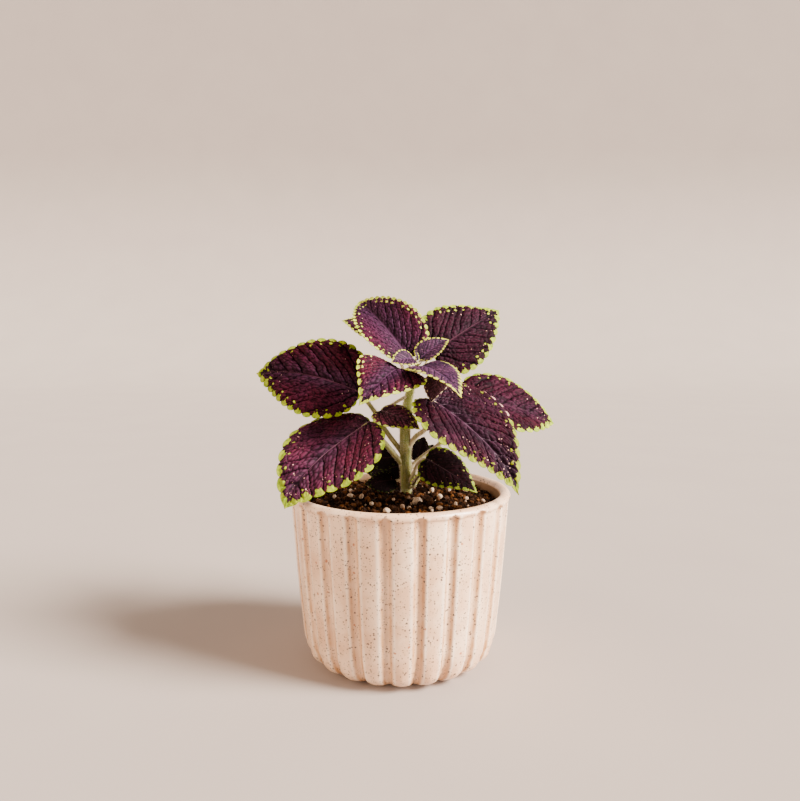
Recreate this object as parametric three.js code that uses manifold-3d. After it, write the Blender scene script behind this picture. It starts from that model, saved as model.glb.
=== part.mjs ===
// A young coleus in a fluted stoneware pot, in millimetres, +Z up.
// The origin is the middle of the pot's foot, and -Y is the side that the plant faces.
import * as THREE from 'three';
import { mergeVertices } from 'three/addons/utils/BufferGeometryUtils.js';
import Module from 'manifold-3d';

const wasm = await Module();
wasm.setup();

// ---------------------------------------------------------------- driving dimensions

const CLEARANCE = 0.3;             // air between two touching pieces

const POT = {
  rimRadius: 60,
  height: 93,
  footRadius: 36.5,
  cornerRadius: 51.7,              // where the rounded foot turns into the wall
  cornerHeight: 10,
  wallSwell: 0.6,                  // below 1 the wall bulges before it reaches the rim
  wall: 5.8,
  floor: 6,
  flutes: 22,
  fluteTurn: THREE.MathUtils.degToRad(-7),
  fluteDepth: 1.1,
  fluteTop: 90,
  // Round one flute: the place, in parts of the flutes' spacing, and the share of the depth.
  fluteSection: [[-0.15, 0], [-0.08, 1], [0.08, 1], [0.15, 0], [0.5, 0]],
};

const SOIL = {
  edgeHeight: 86,
  mound: 1.6,
  segments: 42,
  rings: 12,
  crumbs: 130,
  crumbSize: [1.6, 3.4],
  crumbHeight: 1.7,
  seed: 41,
};

const STEM = {
  path: [
    [4, 8, 70], [3.6, 8, 89], [3.2, 7, 101], [3, 5.5, 113], [2.8, 4, 124],
    [4, 2.5, 138], [6.2, 1, 149], [8.6, 0, 158], [9.4, 0, 161],
  ],
  halfSide: [2.7, 2.9, 3.0, 3.0, 3.0, 3.0, 2.6, 1.8, 1.0],
  cornerCut: 0.9,                  // 1 leaves a sharp square, less rounds the four corners
  joints: [105, 113, 147, 155],    // heights where a pair of leaves parts from the stem
  jointSwell: 0.14,
  steps: 30,
};

const BLADE = {
  thickness: 0.8,
  toothDepth: 0.026,               // in blade lengths
  waist: 0.5,                      // how roundly the edge leaves the stalk
  detail: [                        // by the blade's length
    { over: 55, rowsInTooth: 3, columns: 2 },
    { over: 36, rowsInTooth: 2, columns: 2 },
    { over: 0, rowsInTooth: 2, columns: 1 },
  ],
};

const STALK = {
  sides: 6,
  steps: 6,
  ribSteps: 3,
  ribLength: 0.3,                  // how far the rib runs on under the blade
  ribEnd: 0.45,                    // its radius there
};

// Each leaf: the stalk runs from the stem through its points to the blade's base.
// Width is across the blade without teeth. The edge is fuller towards the tip where
// fullness is low. Arch, sway, lobe and cup are parts of the blade's length or width,
// and roll, twist and fold are degrees.
const LEAVES = {
  leaf_1_left: {
    stalk: [[2.5, 6.5, 103], [-7.3, -2, 116.8], [-12.4, -8, 124.2]], stalkRadius: [1.5, 1.1],
    base: [-16, -12, 131], tip: [-57, -40, 91], width: 52, roll: -29, arch: [0.01, 0.17],
    sway: 0.06, fold: 5, cup: 0.08, twist: -45, fullness: 1.08, lobe: 0.2, teeth: 12,
  },
  leaf_1_right: {
    stalk: [[3.6, 6.5, 101], [12.6, 9, 108.2], [22.7, 11, 115.8], [31, 13, 128]],
    stalkRadius: [1.5, 1.1],
    base: [36, 14, 141.5], tip: [91.5, 36, 123.5], width: 43, roll: 45, arch: [0.08, 0.12],
    sway: 0.04, fold: 10, cup: 0.03, twist: 21, fullness: 1.2, lobe: 0.29, teeth: 12,
  },
  leaf_2_left: {
    stalk: [[3, 5.2, 109], [-8, 4, 124.1], [-14.5, 3, 135.3]], stalkRadius: [1.5, 1.1],
    base: [-22, 2, 145], tip: [-83, 26, 154], width: 49, roll: -54, arch: [0.13, 0.13],
    sway: 0.03, fold: 6, cup: 0.01, twist: -17, fullness: 1.15, lobe: 0.17, teeth: 13,
  },
  leaf_2_right: {
    stalk: [[3, 5, 111], [8.5, 2, 120.6], [13.3, -1, 124.8], [17.4, -7, 133.2]],
    stalkRadius: [1.5, 1.1],
    base: [16, -12, 143], tip: [59.5, -36, 97], width: 56, roll: 24, arch: [0.07, 0.16],
    sway: -0.03, fold: 19, cup: 0.16, twist: 19, fullness: 1.4, lobe: 0.3, teeth: 14,
  },
  leaf_3_left: {
    stalk: [[5.2, 1.5, 146], [1, -1.5, 153.5]], stalkRadius: [1.2, 0.9],
    base: [-0.7, -6, 158.9], tip: [-20.4, -36, 141.9], width: 36.5, roll: -24, arch: [0.15, 0.16],
    sway: -0.04, fold: 5.7, cup: 0.02, twist: 7, fullness: 1.35, lobe: 0.31, teeth: 11,
  },
  leaf_3_right: {
    stalk: [[6, 1.5, 146.5], [12.4, 8, 156.5]], stalkRadius: [1.2, 0.9],
    base: [19, 14.2, 166.8], tip: [58.7, 41, 190.8], width: 40, roll: 54, arch: [0.09, 0.09],
    sway: 0.01, fold: 2, cup: 0.06, twist: -16, fullness: 1.22, lobe: 0.49, teeth: 12,
  },
  leaf_4_right: {
    stalk: [[7.6, 0.5, 154.5]], stalkRadius: [0.9, 0.8],
    base: [11.4, -5.8, 159.9], tip: [30, -42, 146.2], width: 25, roll: -4, arch: [0.09, 0.11],
    sway: 0.01, fold: 9, cup: 0.09, twist: -31, fullness: 1.31, lobe: 0.39, teeth: 12,
  },
  leaf_4_left: {
    stalk: [[7.6, 0.5, 154.5], [5.6, 4.2, 159]], stalkRadius: [1.0, 0.8],
    base: [4, 8.8, 164.1], tip: [-24, 35.6, 195.3], width: 38, roll: -33, arch: [0.08, 0.08],
    sway: 0.01, fold: 25, cup: -0.02, twist: -19, fullness: 0.95, lobe: 0.43, teeth: 12,
  },
  leaf_5_left: {
    stalk: [[9, 0, 160]], stalkRadius: [0.6, 0.5],
    base: [7.2, -2.6, 163.6], tip: [-4.6, -11.5, 162], width: 12, roll: -42, arch: [0.08, 0.08],
    sway: 0.01, fold: 12, cup: 0.02, twist: -8, fullness: 1.09, lobe: 0.32, teeth: 8,
  },
  leaf_5_right: {
    stalk: [[9.2, 0, 160]], stalkRadius: [0.6, 0.5],
    base: [11, 2.8, 163.4], tip: [27, 10.4, 173.6], width: 15, roll: 33, arch: [0.08, 0.1],
    sway: -0.01, fold: 16, cup: 0.02, twist: -1, fullness: 1.08, lobe: 0.31, teeth: 9,
  },
  bud_leaf_front: {
    stalk: [[9.3, 0, 159.8]], stalkRadius: [0.5, 0.4],
    base: [10.6, -2.2, 161.6], tip: [13.2, -3.2, 163.4], width: 2.6, roll: 0, arch: [0.1, 0.1],
    sway: 0, fold: 20, cup: 0, twist: 0, fullness: 1.1, lobe: 0.2, teeth: 4,
  },
  bud_leaf_back: {
    stalk: [[9.3, 0, 159.8]], stalkRadius: [0.5, 0.4],
    base: [9, 0.4, 162.6], tip: [8, 1.2, 168], width: 3.2, roll: 0, arch: [0.1, 0.1],
    sway: 0, fold: 20, cup: 0, twist: 0, fullness: 1.1, lobe: 0.2, teeth: 5,
  },
  shoot_leaf_front: {
    stalk: [[4.3, 1.5, 143.5], [-2.9, -6, 140]], stalkRadius: [0.9, 0.7],
    base: [-10, -14, 137], tip: [10.5, -22, 128], width: 20, roll: 29, arch: [0.08, 0.17],
    sway: 0.05, fold: 5, cup: 0.12, twist: 6, fullness: 1.24, lobe: 0.47, teeth: 11,
  },
  shoot_leaf_side: {
    stalk: [[6, 1, 150], [14, -3, 153]], stalkRadius: [0.8, 0.6],
    base: [21.6, -6.5, 155.6], tip: [16.2, -20.2, 142], width: 14, roll: 0, arch: [0.04, 0.08],
    sway: 0.02, fold: 6, cup: 0.1, twist: 5, fullness: 1.16, lobe: 0.35, teeth: 9,
  },
  shoot_leaf_back: {
    stalk: [[5, 3, 142], [2, 18, 156], [-3.5, 29, 169]], stalkRadius: [1.0, 0.8],
    base: [-6.5, 34, 175.5], tip: [-35, 46, 184.5], width: 23, roll: -28, arch: [0.04, 0.09],
    sway: 0.02, fold: 8, cup: 0.09, twist: 2, fullness: 1.17, lobe: 0.35, teeth: 11,
  },
  basal_leaf_front: {
    stalk: [[4, 7.5, 92], [7.6, 3, 100], [10, 0, 106.3]], stalkRadius: [1.3, 0.9],
    base: [14, -6, 110], tip: [40, -22, 95], width: 23, roll: 36, arch: [0.01, 0.04],
    sway: -0.02, fold: 6, cup: 0.12, twist: -22, fullness: 1.22, lobe: 0.34, teeth: 11,
  },
  basal_leaf_right_low: {
    stalk: [[3.5, 7, 99], [7.4, 12, 101]], stalkRadius: [0.7, 0.6],
    base: [9.5, 17, 105], tip: [14, 21, 118], width: 13, roll: 45, arch: [0.04, 0.08],
    sway: -0.01, fold: 7, cup: 0.1, twist: 5, fullness: 1.11, lobe: 0.35, teeth: 8,
  },
  basal_leaf_right_high: {
    stalk: [[3.4, 7.2, 97], [10.5, 11.5, 99.5]], stalkRadius: [0.7, 0.6],
    base: [14.5, 20, 103.5], tip: [19.5, 27.5, 112.5], width: 9, roll: 35, arch: [0.06, 0.08],
    sway: -0.02, fold: 12, cup: 0.06, twist: 2, fullness: 1.13, lobe: 0.35, teeth: 8,
  },
  basal_leaf_right_front: {
    stalk: [[4, 7.5, 91]], stalkRadius: [0.9, 0.7],
    base: [7.5, 3.6, 93.4], tip: [12.2, 1.4, 101], width: 6, roll: -25, arch: [0.05, 0.05],
    sway: 0.02, fold: 16, cup: 0.05, twist: 0, fullness: 1.1, lobe: 0.25, teeth: 6,
  },
  basal_leaf_left_high: {
    stalk: [[3.2, 7, 103]], stalkRadius: [0.8, 0.6],
    base: [-3.4, 11.5, 107.5], tip: [-21, 16, 104.6], width: 13, roll: -65, arch: [0.04, 0.06],
    sway: 0.02, fold: 3, cup: 0.11, twist: 3, fullness: 1.13, lobe: 0.35, teeth: 9,
  },
  basal_leaf_left_middle: {
    stalk: [[3.3, 7.6, 100]], stalkRadius: [0.8, 0.6],
    base: [0.5, 15, 102], tip: [-20.5, 22.5, 97.5], width: 15, roll: -70, arch: [0.04, 0.05],
    sway: -0.02, fold: 4, cup: 0.11, twist: 6, fullness: 1.12, lobe: 0.35, teeth: 9,
  },
  basal_leaf_left_low: {
    stalk: [[3.4, 7.5, 95]], stalkRadius: [0.8, 0.6],
    base: [-2.8, 8.5, 95.5], tip: [-20, 5.5, 93.6], width: 12.5, roll: -55, arch: [0.05, 0.07],
    sway: -0.02, fold: 1, cup: 0.12, twist: 4, fullness: 1.15, lobe: 0.35, teeth: 10,
  },
};

// ---------------------------------------------------------------- solids

// A closed body from a geometry: shared points joined, spent triangles dropped.
function solid(geometry) {
  const bare = geometry.index ? geometry : geometry.clone();
  bare.deleteAttribute('normal');
  bare.deleteAttribute('uv');
  const merged = mergeVertices(bare, 1e-4);
  const corners = merged.index.array;
  const kept = [];
  for (let i = 0; i < corners.length; i += 3) {
    const [a, b, c] = corners.subarray(i, i + 3);
    if (a !== b && b !== c && c !== a) kept.push(a, b, c);
  }
  const triVerts = new Uint32Array(kept);
  const vertProperties = merged.attributes.position.array;
  if (volume(vertProperties, triVerts) < 0) triVerts.reverse();
  return new wasm.Manifold(new wasm.Mesh({ numProp: 3, vertProperties, triVerts }));
}

function volume(points, corners) {
  const [a, b, c] = [new THREE.Vector3(), new THREE.Vector3(), new THREE.Vector3()];
  let sum = 0;
  for (let i = 0; i < corners.length; i += 3) {
    a.fromArray(points, corners[i] * 3);
    b.fromArray(points, corners[i + 1] * 3);
    c.fromArray(points, corners[i + 2] * 3);
    sum += a.dot(b.cross(c));
  }
  return sum;
}

function geometryOf(body) {
  const mesh = body.getMesh();
  const geometry = new THREE.BufferGeometry();
  geometry.setAttribute('position', new THREE.BufferAttribute(mesh.vertProperties, 3));
  geometry.setIndex(new THREE.BufferAttribute(mesh.triVerts, 1));
  return geometry;
}

// A rod along a path whose cross-section changes on the way: radiusAt gives the radius
// for a place along the path, from 0 to 1, and an angle round it.
function rod(points, steps, sides, radiusAt) {
  const curve = new THREE.CatmullRomCurve3(points);
  const frames = curve.computeFrenetFrames(steps);
  const positions = [];
  const indices = [];
  for (let i = 0; i <= steps; i++) {
    const centre = curve.getPointAt(i / steps);
    for (let j = 0; j < sides; j++) {
      const angle = (j / sides) * 2 * Math.PI;
      const radius = radiusAt(i / steps, angle);
      const point = centre.clone();
      point.addScaledVector(frames.normals[i], radius * Math.cos(angle));
      point.addScaledVector(frames.binormals[i], radius * Math.sin(angle));
      positions.push(point.x, point.y, point.z);
    }
  }
  for (let i = 0; i < steps; i++) {
    for (let j = 0; j < sides; j++) {
      const [a, b] = [i * sides + j, i * sides + ((j + 1) % sides)];
      indices.push(a, b, b + sides, a, b + sides, a + sides);
    }
  }
  const last = steps * sides;
  for (let j = 1; j < sides - 1; j++) {
    indices.push(0, j + 1, j);
    indices.push(last, last + j, last + j + 1);
  }
  const geometry = new THREE.BufferGeometry();
  geometry.setAttribute('position', new THREE.Float32BufferAttribute(positions, 3));
  geometry.setIndex(indices);
  return solid(geometry);
}

// ---------------------------------------------------------------- pot

// A fluted wall thrown round, with a rolled lip, a rounded foot and a flat floor inside.
function pot() {
  const { rimRadius, height, footRadius, cornerRadius, cornerHeight, wall, floor } = POT;
  const outside = [new THREE.Vector2(0, 0), new THREE.Vector2(footRadius, 0)];
  for (const turn of [30, 60, 90]) {
    const angle = THREE.MathUtils.degToRad(turn);
    outside.push(new THREE.Vector2(
      footRadius + (cornerRadius - footRadius) * Math.sin(angle),
      cornerHeight * (1 - Math.cos(angle)),
    ));
  }
  for (const z of [24, 45, 68, POT.fluteTop - 2.5, POT.fluteTop]) {
    outside.push(new THREE.Vector2(wallRadius(z), z));
  }
  const lip = new THREE.Vector2(rimRadius - wall / 2, height - wall / 2);
  for (const turn of [5, 60, 120, 180]) {
    const angle = THREE.MathUtils.degToRad(turn);
    outside.push(new THREE.Vector2(
      lip.x + (wall / 2) * Math.cos(angle),
      lip.y + (wall / 2) * Math.sin(angle),
    ));
  }
  const inside = [55, 16].map((z) => new THREE.Vector2(wallRadius(z) - wall, z));
  inside.push(new THREE.Vector2(cornerRadius - wall - 5, floor), new THREE.Vector2(0, floor));
  const profile = [...outside, ...inside];
  const geometry = new THREE.LatheGeometry(profile, POT.flutes * POT.fluteSection.length);
  geometry.rotateX(Math.PI / 2);
  cutFlutes(geometry, profile.length, outside.length);
  return solid(geometry);
}

function wallRadius(z) {
  const rise = (z - POT.cornerHeight) / (POT.height - POT.cornerHeight);
  return POT.cornerRadius + (POT.rimRadius - POT.cornerRadius) * Math.max(rise, 0) ** POT.wallSwell;
}

// Turns each upright row of points to its place in a flute, and sinks the grooves' rows
// outside, from the foot up to the lip.
function cutFlutes(geometry, ring, outer) {
  const { flutes, fluteTurn, fluteDepth, fluteTop, fluteSection } = POT;
  const position = geometry.attributes.position;
  for (let i = 0; i < position.count; i++) {
    const row = Math.floor(i / ring);
    const [share, depth] = fluteSection[row % fluteSection.length];
    const flute = Math.floor(row / fluteSection.length);
    const angle = fluteTurn + ((flute + share) * 2 * Math.PI) / flutes;
    let radius = Math.hypot(position.getX(i), position.getY(i));
    const grooved = i % ring < outer && position.getZ(i) < fluteTop - 0.1 && radius > 1;
    if (grooved) radius -= fluteDepth * depth;
    position.setXY(i, radius * Math.sin(angle), -radius * Math.cos(angle));
  }
}

// ---------------------------------------------------------------- stem

// Square as on all coleus, slightly swollen where each pair of leaves parts from it.
function stem(growth) {
  const points = STEM.path.map((point) => new THREE.Vector3(...point));
  const [before, top] = points.slice(-2);
  top.addScaledVector(top.clone().sub(before).normalize(), growth);
  points[0].z -= growth;
  const radiusAt = (place, angle) => {
    const step = place * (STEM.halfSide.length - 1);
    const low = Math.min(Math.floor(step), STEM.halfSide.length - 2);
    const halfSide = THREE.MathUtils.lerp(STEM.halfSide[low], STEM.halfSide[low + 1], step - low);
    const z = THREE.MathUtils.lerp(points[0].z, points.at(-1).z, place);
    const swell = STEM.joints.reduce((sum, joint) => sum + Math.exp(-(((z - joint) / 2.5) ** 2)), 0);
    const corner = Math.round(angle / (Math.PI / 4)) % 2 ? Math.SQRT2 * STEM.cornerCut : 1;
    return halfSide * corner * (1 + STEM.jointSwell * swell) + growth;
  };
  return rod(points, STEM.steps, 8, radiusAt);
}

// ---------------------------------------------------------------- soil

// Potting mix up to just under the lip: a low mound of crumbs and white grains.
function soil() {
  const { edgeHeight, mound, segments, rings } = SOIL;
  const inner = (z) => wallRadius(z) - POT.wall - CLEARANCE;
  const bottom = POT.floor + CLEARANCE;
  const profile = [
    new THREE.Vector2(0, bottom),
    new THREE.Vector2(POT.cornerRadius - POT.wall - 5 - CLEARANCE, bottom),
    new THREE.Vector2(inner(16), 16),
    new THREE.Vector2(inner(55), 55),
  ];
  const below = profile.length;
  for (let i = 0; i <= rings; i++) {
    profile.push(new THREE.Vector2(inner(edgeHeight) * (1 - i / rings), edgeHeight));
  }
  const geometry = new THREE.LatheGeometry(profile, segments);
  geometry.rotateX(Math.PI / 2);
  const heightAt = soilRelief();
  const position = geometry.attributes.position;
  for (let i = 0; i < position.count; i++) {
    if (i % profile.length < below) continue;
    position.setZ(i, heightAt(position.getX(i), position.getY(i), edgeHeight, mound));
  }
  return solid(geometry).subtract(stem(CLEARANCE));
}

function soilRelief() {
  const draw = seeded(SOIL.seed);
  const [small, large] = SOIL.crumbSize;
  const crumbs = Array.from({ length: SOIL.crumbs }, () => {
    const reach = 51 * Math.sqrt(draw());
    const angle = 2 * Math.PI * draw();
    const size = THREE.MathUtils.lerp(small, large, draw());
    return { x: reach * Math.cos(angle), y: reach * Math.sin(angle), size };
  });
  return (x, y, edgeHeight, mound) => {
    const slope = 1 - (x * x + y * y) / 2900;
    const heights = crumbs.map((crumb) => {
      const away = Math.hypot(x - crumb.x, y - crumb.y) / crumb.size;
      return SOIL.crumbHeight * Math.sqrt(Math.max(0, 1 - away * away));
    });
    return edgeHeight + mound * slope + Math.max(...heights);
  };
}

function seeded(seed) {
  let state = seed;
  return () => {
    state = (state * 48271) % 2147483647;
    return state / 2147483647;
  };
}

// ---------------------------------------------------------------- leaves

// The middle line of a blade and the way its face looks, at any place on it.
class Blade {
  constructor(leaf) {
    this.leaf = leaf;
    this.base = new THREE.Vector3(...leaf.base);
    this.tip = new THREE.Vector3(...leaf.tip);
    this.length = this.base.distanceTo(this.tip);
    this.halfWidth = leaf.width / 2 / this.length;
    const along = this.tip.clone().sub(this.base).normalize();
    const up = new THREE.Vector3(0, 0, 1);
    this.face = up.addScaledVector(along, -along.z).normalize();
    this.face.applyAxisAngle(along, THREE.MathUtils.degToRad(leaf.roll));
    const across = along.clone().cross(this.face);
    const bend = (share, rise) => this.base.clone()
      .addScaledVector(along, this.length * share)
      .addScaledVector(this.face, this.length * rise)
      .addScaledVector(across, this.length * leaf.sway);
    this.spine = new THREE.CubicBezierCurve3(
      this.base, bend(1 / 3, leaf.arch[0]), bend(2 / 3, leaf.arch[1]), this.tip,
    );
  }

  // A point of the blade and its normal, x across and y along in blade lengths.
  at(x, y) {
    const { leaf, length, halfWidth } = this;
    const place = THREE.MathUtils.clamp(y, 0, 1);
    const along = this.tangent(place);
    const point = this.spine.getPoint(place).addScaledVector(along, (y - place) * length);
    const face = this.face.clone().addScaledVector(along, -this.face.dot(along)).normalize();
    face.applyAxisAngle(along, THREE.MathUtils.degToRad(leaf.twist * (place - 0.5)));
    const across = along.clone().cross(face);
    const fold = THREE.MathUtils.degToRad(leaf.fold);
    const lift = Math.abs(x) * Math.sin(fold) - leaf.cup * halfWidth * (x / halfWidth) ** 2;
    point.addScaledVector(across, x * length * Math.cos(fold));
    point.addScaledVector(face, lift * length);
    return { point, face };
  }

  tangent(place) {
    const { v0, v1, v2, v3 } = this.spine;
    const rest = 1 - place;
    return new THREE.Vector3()
      .addScaledVector(v1.clone().sub(v0), 3 * rest * rest)
      .addScaledVector(v2.clone().sub(v1), 6 * rest * place)
      .addScaledVector(v3.clone().sub(v2), 3 * place * place)
      .normalize();
  }

  // The right-hand edge from the stalk to the tip, with its rounded teeth.
  edge(rows) {
    const { fullness, lobe, teeth } = this.leaf;
    const { waist, toothDepth } = BLADE;
    const whole = waist + fullness;
    const widest = (waist / whole) ** waist * (fullness / whole) ** fullness;
    const smooth = new THREE.Path(Array.from({ length: 201 }, (_, i) => {
      const u = (i / 200) ** 1.5;
      return new THREE.Vector2(
        (this.halfWidth * u ** waist * (1 - u) ** fullness) / widest,
        u - lobe * Math.sqrt(u) * (1 - u) ** 6,
      );
    }));
    return Array.from({ length: rows + 1 }, (_, i) => {
      const place = i / rows;
      const point = smooth.getPointAt(place);
      const along = smooth.getTangentAt(place);
      const tooth = Math.abs(Math.sin(Math.PI * teeth * place)) ** 0.6;
      const fade = Math.min(1, 0.45 + 1.6 * place) * Math.min(1, (1 - place) / 0.1);
      point.x += along.y * toothDepth * tooth * fade;
      point.y -= along.x * toothDepth * tooth * fade;
      return point;
    });
  }
}

// A thin toothed blade, its two faces split alike, with the stalk and the rib under it.
function leaf(sizes) {
  const blade = new Blade(sizes);
  const { rowsInTooth, columns } = BLADE.detail.find((detail) => blade.length > detail.over);
  const rows = sizes.teeth * rowsInTooth;
  const wide = 2 * columns + 1;
  const edge = blade.edge(rows);
  const positions = [];
  const indices = [];
  for (const side of [1, -1]) {
    edge.forEach((margin, row) => {
      const middle = (row / rows) ** 1.8;
      for (let column = -columns; column <= columns; column++) {
        const share = column / columns;
        const y = THREE.MathUtils.lerp(middle, margin.y, Math.abs(share));
        const { point, face } = blade.at(margin.x * share, row === 0 ? 0 : y);
        point.addScaledVector(face, (side * BLADE.thickness) / 2);
        positions.push(point.x, point.y, point.z);
      }
    });
  }
  const under = (rows + 1) * wide;
  const quad = (a, b, c, d) => indices.push(a, b, c, a, c, d);
  for (let row = 0; row < rows; row++) {
    for (let column = 0; column < 2 * columns; column++) {
      const a = row * wide + column;
      quad(a, a + 1, a + wide + 1, a + wide);
      quad(under + a, under + a + wide, under + a + wide + 1, under + a + 1);
    }
    const [left, right] = [row * wide, row * wide + 2 * columns];
    quad(left, left + wide, under + left + wide, under + left);
    quad(right, under + right, under + right + wide, right + wide);
  }
  const geometry = new THREE.BufferGeometry();
  geometry.setAttribute('position', new THREE.Float32BufferAttribute(positions, 3));
  geometry.setIndex(indices);
  return solid(geometry).add(stalk(sizes, blade)).subtract(stem(CLEARANCE));
}

// The stalk runs on as the rib along the underside of the blade.
function stalk(sizes, blade) {
  const { sides, steps, ribSteps, ribLength, ribEnd } = STALK;
  const [start, end] = sizes.stalkRadius;
  const points = sizes.stalk.map((point) => new THREE.Vector3(...point));
  const free = points.length;
  for (let i = 0; i <= ribSteps; i++) {
    const place = (i / ribSteps) * ribLength;
    const radius = THREE.MathUtils.lerp(end, ribEnd, i / ribSteps);
    const { point, face } = blade.at(0, place);
    points.push(point.addScaledVector(face, -radius * 0.75));
  }
  const share = free / (free + ribSteps);
  const radiusAt = (place) => {
    const along = Math.min(1, place / share);
    const ribPlace = Math.max(0, (place - share) / (1 - share));
    return THREE.MathUtils.lerp(THREE.MathUtils.lerp(start, end, along), ribEnd, ribPlace);
  };
  return rod(points, steps + ribSteps, sides, radiusAt);
}

// ---------------------------------------------------------------- the whole plant

const plant = new THREE.Group();

function place(name, body, colour, roughness) {
  const material = new THREE.MeshStandardMaterial({ color: colour, roughness, metalness: 0 });
  const mesh = new THREE.Mesh(geometryOf(body), material);
  mesh.name = name;
  plant.add(mesh);
}

place('pot', pot(), '#e6dccb', 0.35);
place('soil', soil(), '#2f2019', 0.95);
place('stem', stem(0), '#7f8c46', 0.6);
for (const [name, sizes] of Object.entries(LEAVES)) {
  place(name, leaf(sizes), '#5a2136', 0.55);
}

export default plant;
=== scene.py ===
# A young coleus in a fluted stoneware pot. Lengths are in millimetres until they become meshes.
import math

import bpy
import numpy as np
from mathutils import Matrix, Vector


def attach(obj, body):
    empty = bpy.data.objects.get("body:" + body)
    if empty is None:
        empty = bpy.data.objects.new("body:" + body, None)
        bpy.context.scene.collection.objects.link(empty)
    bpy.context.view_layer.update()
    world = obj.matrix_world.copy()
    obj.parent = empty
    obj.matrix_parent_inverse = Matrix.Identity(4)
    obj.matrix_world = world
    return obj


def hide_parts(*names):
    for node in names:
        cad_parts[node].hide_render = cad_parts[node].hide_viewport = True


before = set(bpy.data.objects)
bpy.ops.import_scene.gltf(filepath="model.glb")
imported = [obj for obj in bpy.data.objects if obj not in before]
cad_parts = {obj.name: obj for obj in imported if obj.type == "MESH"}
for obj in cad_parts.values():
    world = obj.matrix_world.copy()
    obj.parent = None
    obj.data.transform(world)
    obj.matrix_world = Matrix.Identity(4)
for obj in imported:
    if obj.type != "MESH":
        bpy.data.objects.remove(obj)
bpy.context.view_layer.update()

# ---------------- camera, floor and light
# The camera looks from the front and a little down, as at a plant on a table. The floor is
# a plain pale sheet that sweeps up far behind, and large soft lights stand round it, the
# brightest on the right.

MM = 0.001
SENSOR_WIDTH = 36
FOCAL_LENGTH = 32.4
CAMERA_PLACE = (0, -0.389, 0.179)
CAMERA_PITCH = 84.4

bpy.ops.object.camera_add(location=CAMERA_PLACE, rotation=(math.radians(CAMERA_PITCH), 0, 0))
camera = bpy.context.object
camera.data.sensor_width = SENSOR_WIDTH
camera.data.lens = FOCAL_LENGTH
camera.data.clip_start = 0.01
bpy.context.scene.camera = camera


def soft_light(name, direction, softness, strength, colour):
    """A wide far light that shines from that direction, as from a large window."""
    bpy.ops.object.light_add(type="SUN")
    light = bpy.context.object
    light.name = name
    light.rotation_euler = Vector(direction).to_track_quat("Z", "Y").to_euler()
    light.data.angle = math.radians(softness)
    light.data.energy = strength
    light.data.color = colour


soft_light("window", (0.97, -0.32, 0.76), 24, 15.5, (1, 0.93, 0.86))
soft_light("low_window", (0.98, -0.24, 0.1), 16, 7, (1, 0.92, 0.85))
soft_light("fill", (-0.95, -0.3, 0.3), 60, 3.9, (1, 0.77, 0.59))

world = bpy.data.worlds.new("studio")
world.use_nodes = True
background = world.node_tree.nodes["Background"].inputs
background["Color"].default_value = (1, 0.87, 0.78, 1)
background["Strength"].default_value = 0.5
bpy.context.scene.world = world


def paint(colour):
    """A colour in linear light from its six hexadecimal digits. Others pass as they are."""
    if not isinstance(colour, str):
        return colour
    shares = [int(colour[i:i + 2], 16) / 255 for i in (0, 2, 4)]
    return (*[s / 12.92 if s <= 0.04045 else ((s + 0.055) / 1.055) ** 2.4 for s in shares], 1)


class Finish:
    """A material whose colour is laid on in coats over the first."""

    def __init__(self, name, first_coat, settings):
        self.material = bpy.data.materials.new(name)
        self.material.use_nodes = True
        self.tree = self.material.node_tree
        self.shader = self.tree.nodes["Principled BSDF"]
        for key, value in settings.items():
            self.shader.inputs[key].default_value = value
        self.place = self.node("ShaderNodeTexCoord").outputs["Object"]
        self.colour = first_coat

    def node(self, kind, inputs=(), **settings):
        """A node with its settings, and its sockets set or linked by name or number."""
        made = self.tree.nodes.new(kind)
        for key, value in settings.items():
            setattr(made, key, value)
        for key, value in dict(inputs).items():
            if isinstance(value, bpy.types.NodeSocket):
                self.tree.links.new(value, made.inputs[key])
            else:
                made.inputs[key].default_value = value
        return made

    def marked(self, name):
        return self.node("ShaderNodeAttribute", attribute_name=name).outputs["Fac"]

    def noise(self, scale, detail=2.0, place=None):
        inputs = {"Vector": place or self.place, "Scale": scale, "Detail": detail}
        return self.node("ShaderNodeTexNoise", inputs).outputs["Fac"]

    def ramp(self, value, low, high, to_low=0.0, to_high=1.0):
        """The value stretched from low..high to to_low..to_high, smoothly, and held there."""
        inputs = dict(enumerate((value, low, high, to_low, to_high)))
        made = self.node("ShaderNodeMapRange", inputs, interpolation_type="SMOOTHSTEP")
        return made.outputs[0]

    def arithmetic(self, operation, first, second):
        inputs = {0: first, 1: second}
        return self.node("ShaderNodeMath", inputs, operation=operation).outputs[0]

    def mixed(self, share, first, second):
        inputs = {0: share, 6: paint(first), 7: paint(second)}
        return self.node("ShaderNodeMix", inputs, data_type="RGBA").outputs[2]

    def coat(self, colour, share, *others):
        """Paint over what is there, as strongly as all the shares multiplied."""
        for other in others:
            share = self.arithmetic("MULTIPLY", share, other)
        self.colour = self.mixed(share, self.colour, colour)

    def link(self, name, value):
        self.tree.links.new(value, self.shader.inputs[name])

    def roughen(self, height, strength, distance):
        inputs = {"Height": height, "Strength": strength, "Distance": distance}
        self.link("Normal", self.node("ShaderNodeBump", inputs).outputs["Normal"])

    def finished(self):
        self.link("Base Color", self.colour)
        return self.material


def deselect_all():
    bpy.ops.object.select_all(action="DESELECT")


def extrude(step):
    bpy.ops.mesh.extrude_region_move(TRANSFORM_OT_translate={"value": step})


FLOOR_SIZE = 9  # in metres, as are the next three
FLOOR_BACK = 1.7  # how far behind the plant the floor begins to sweep up
SWEEP = 0.9
BACKDROP_HEIGHT = 2.6
SWEEP_STEP = 6  # degrees
FLOOR_DROP = 0.0002  # the floor lies this far under the pot's foot

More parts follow.
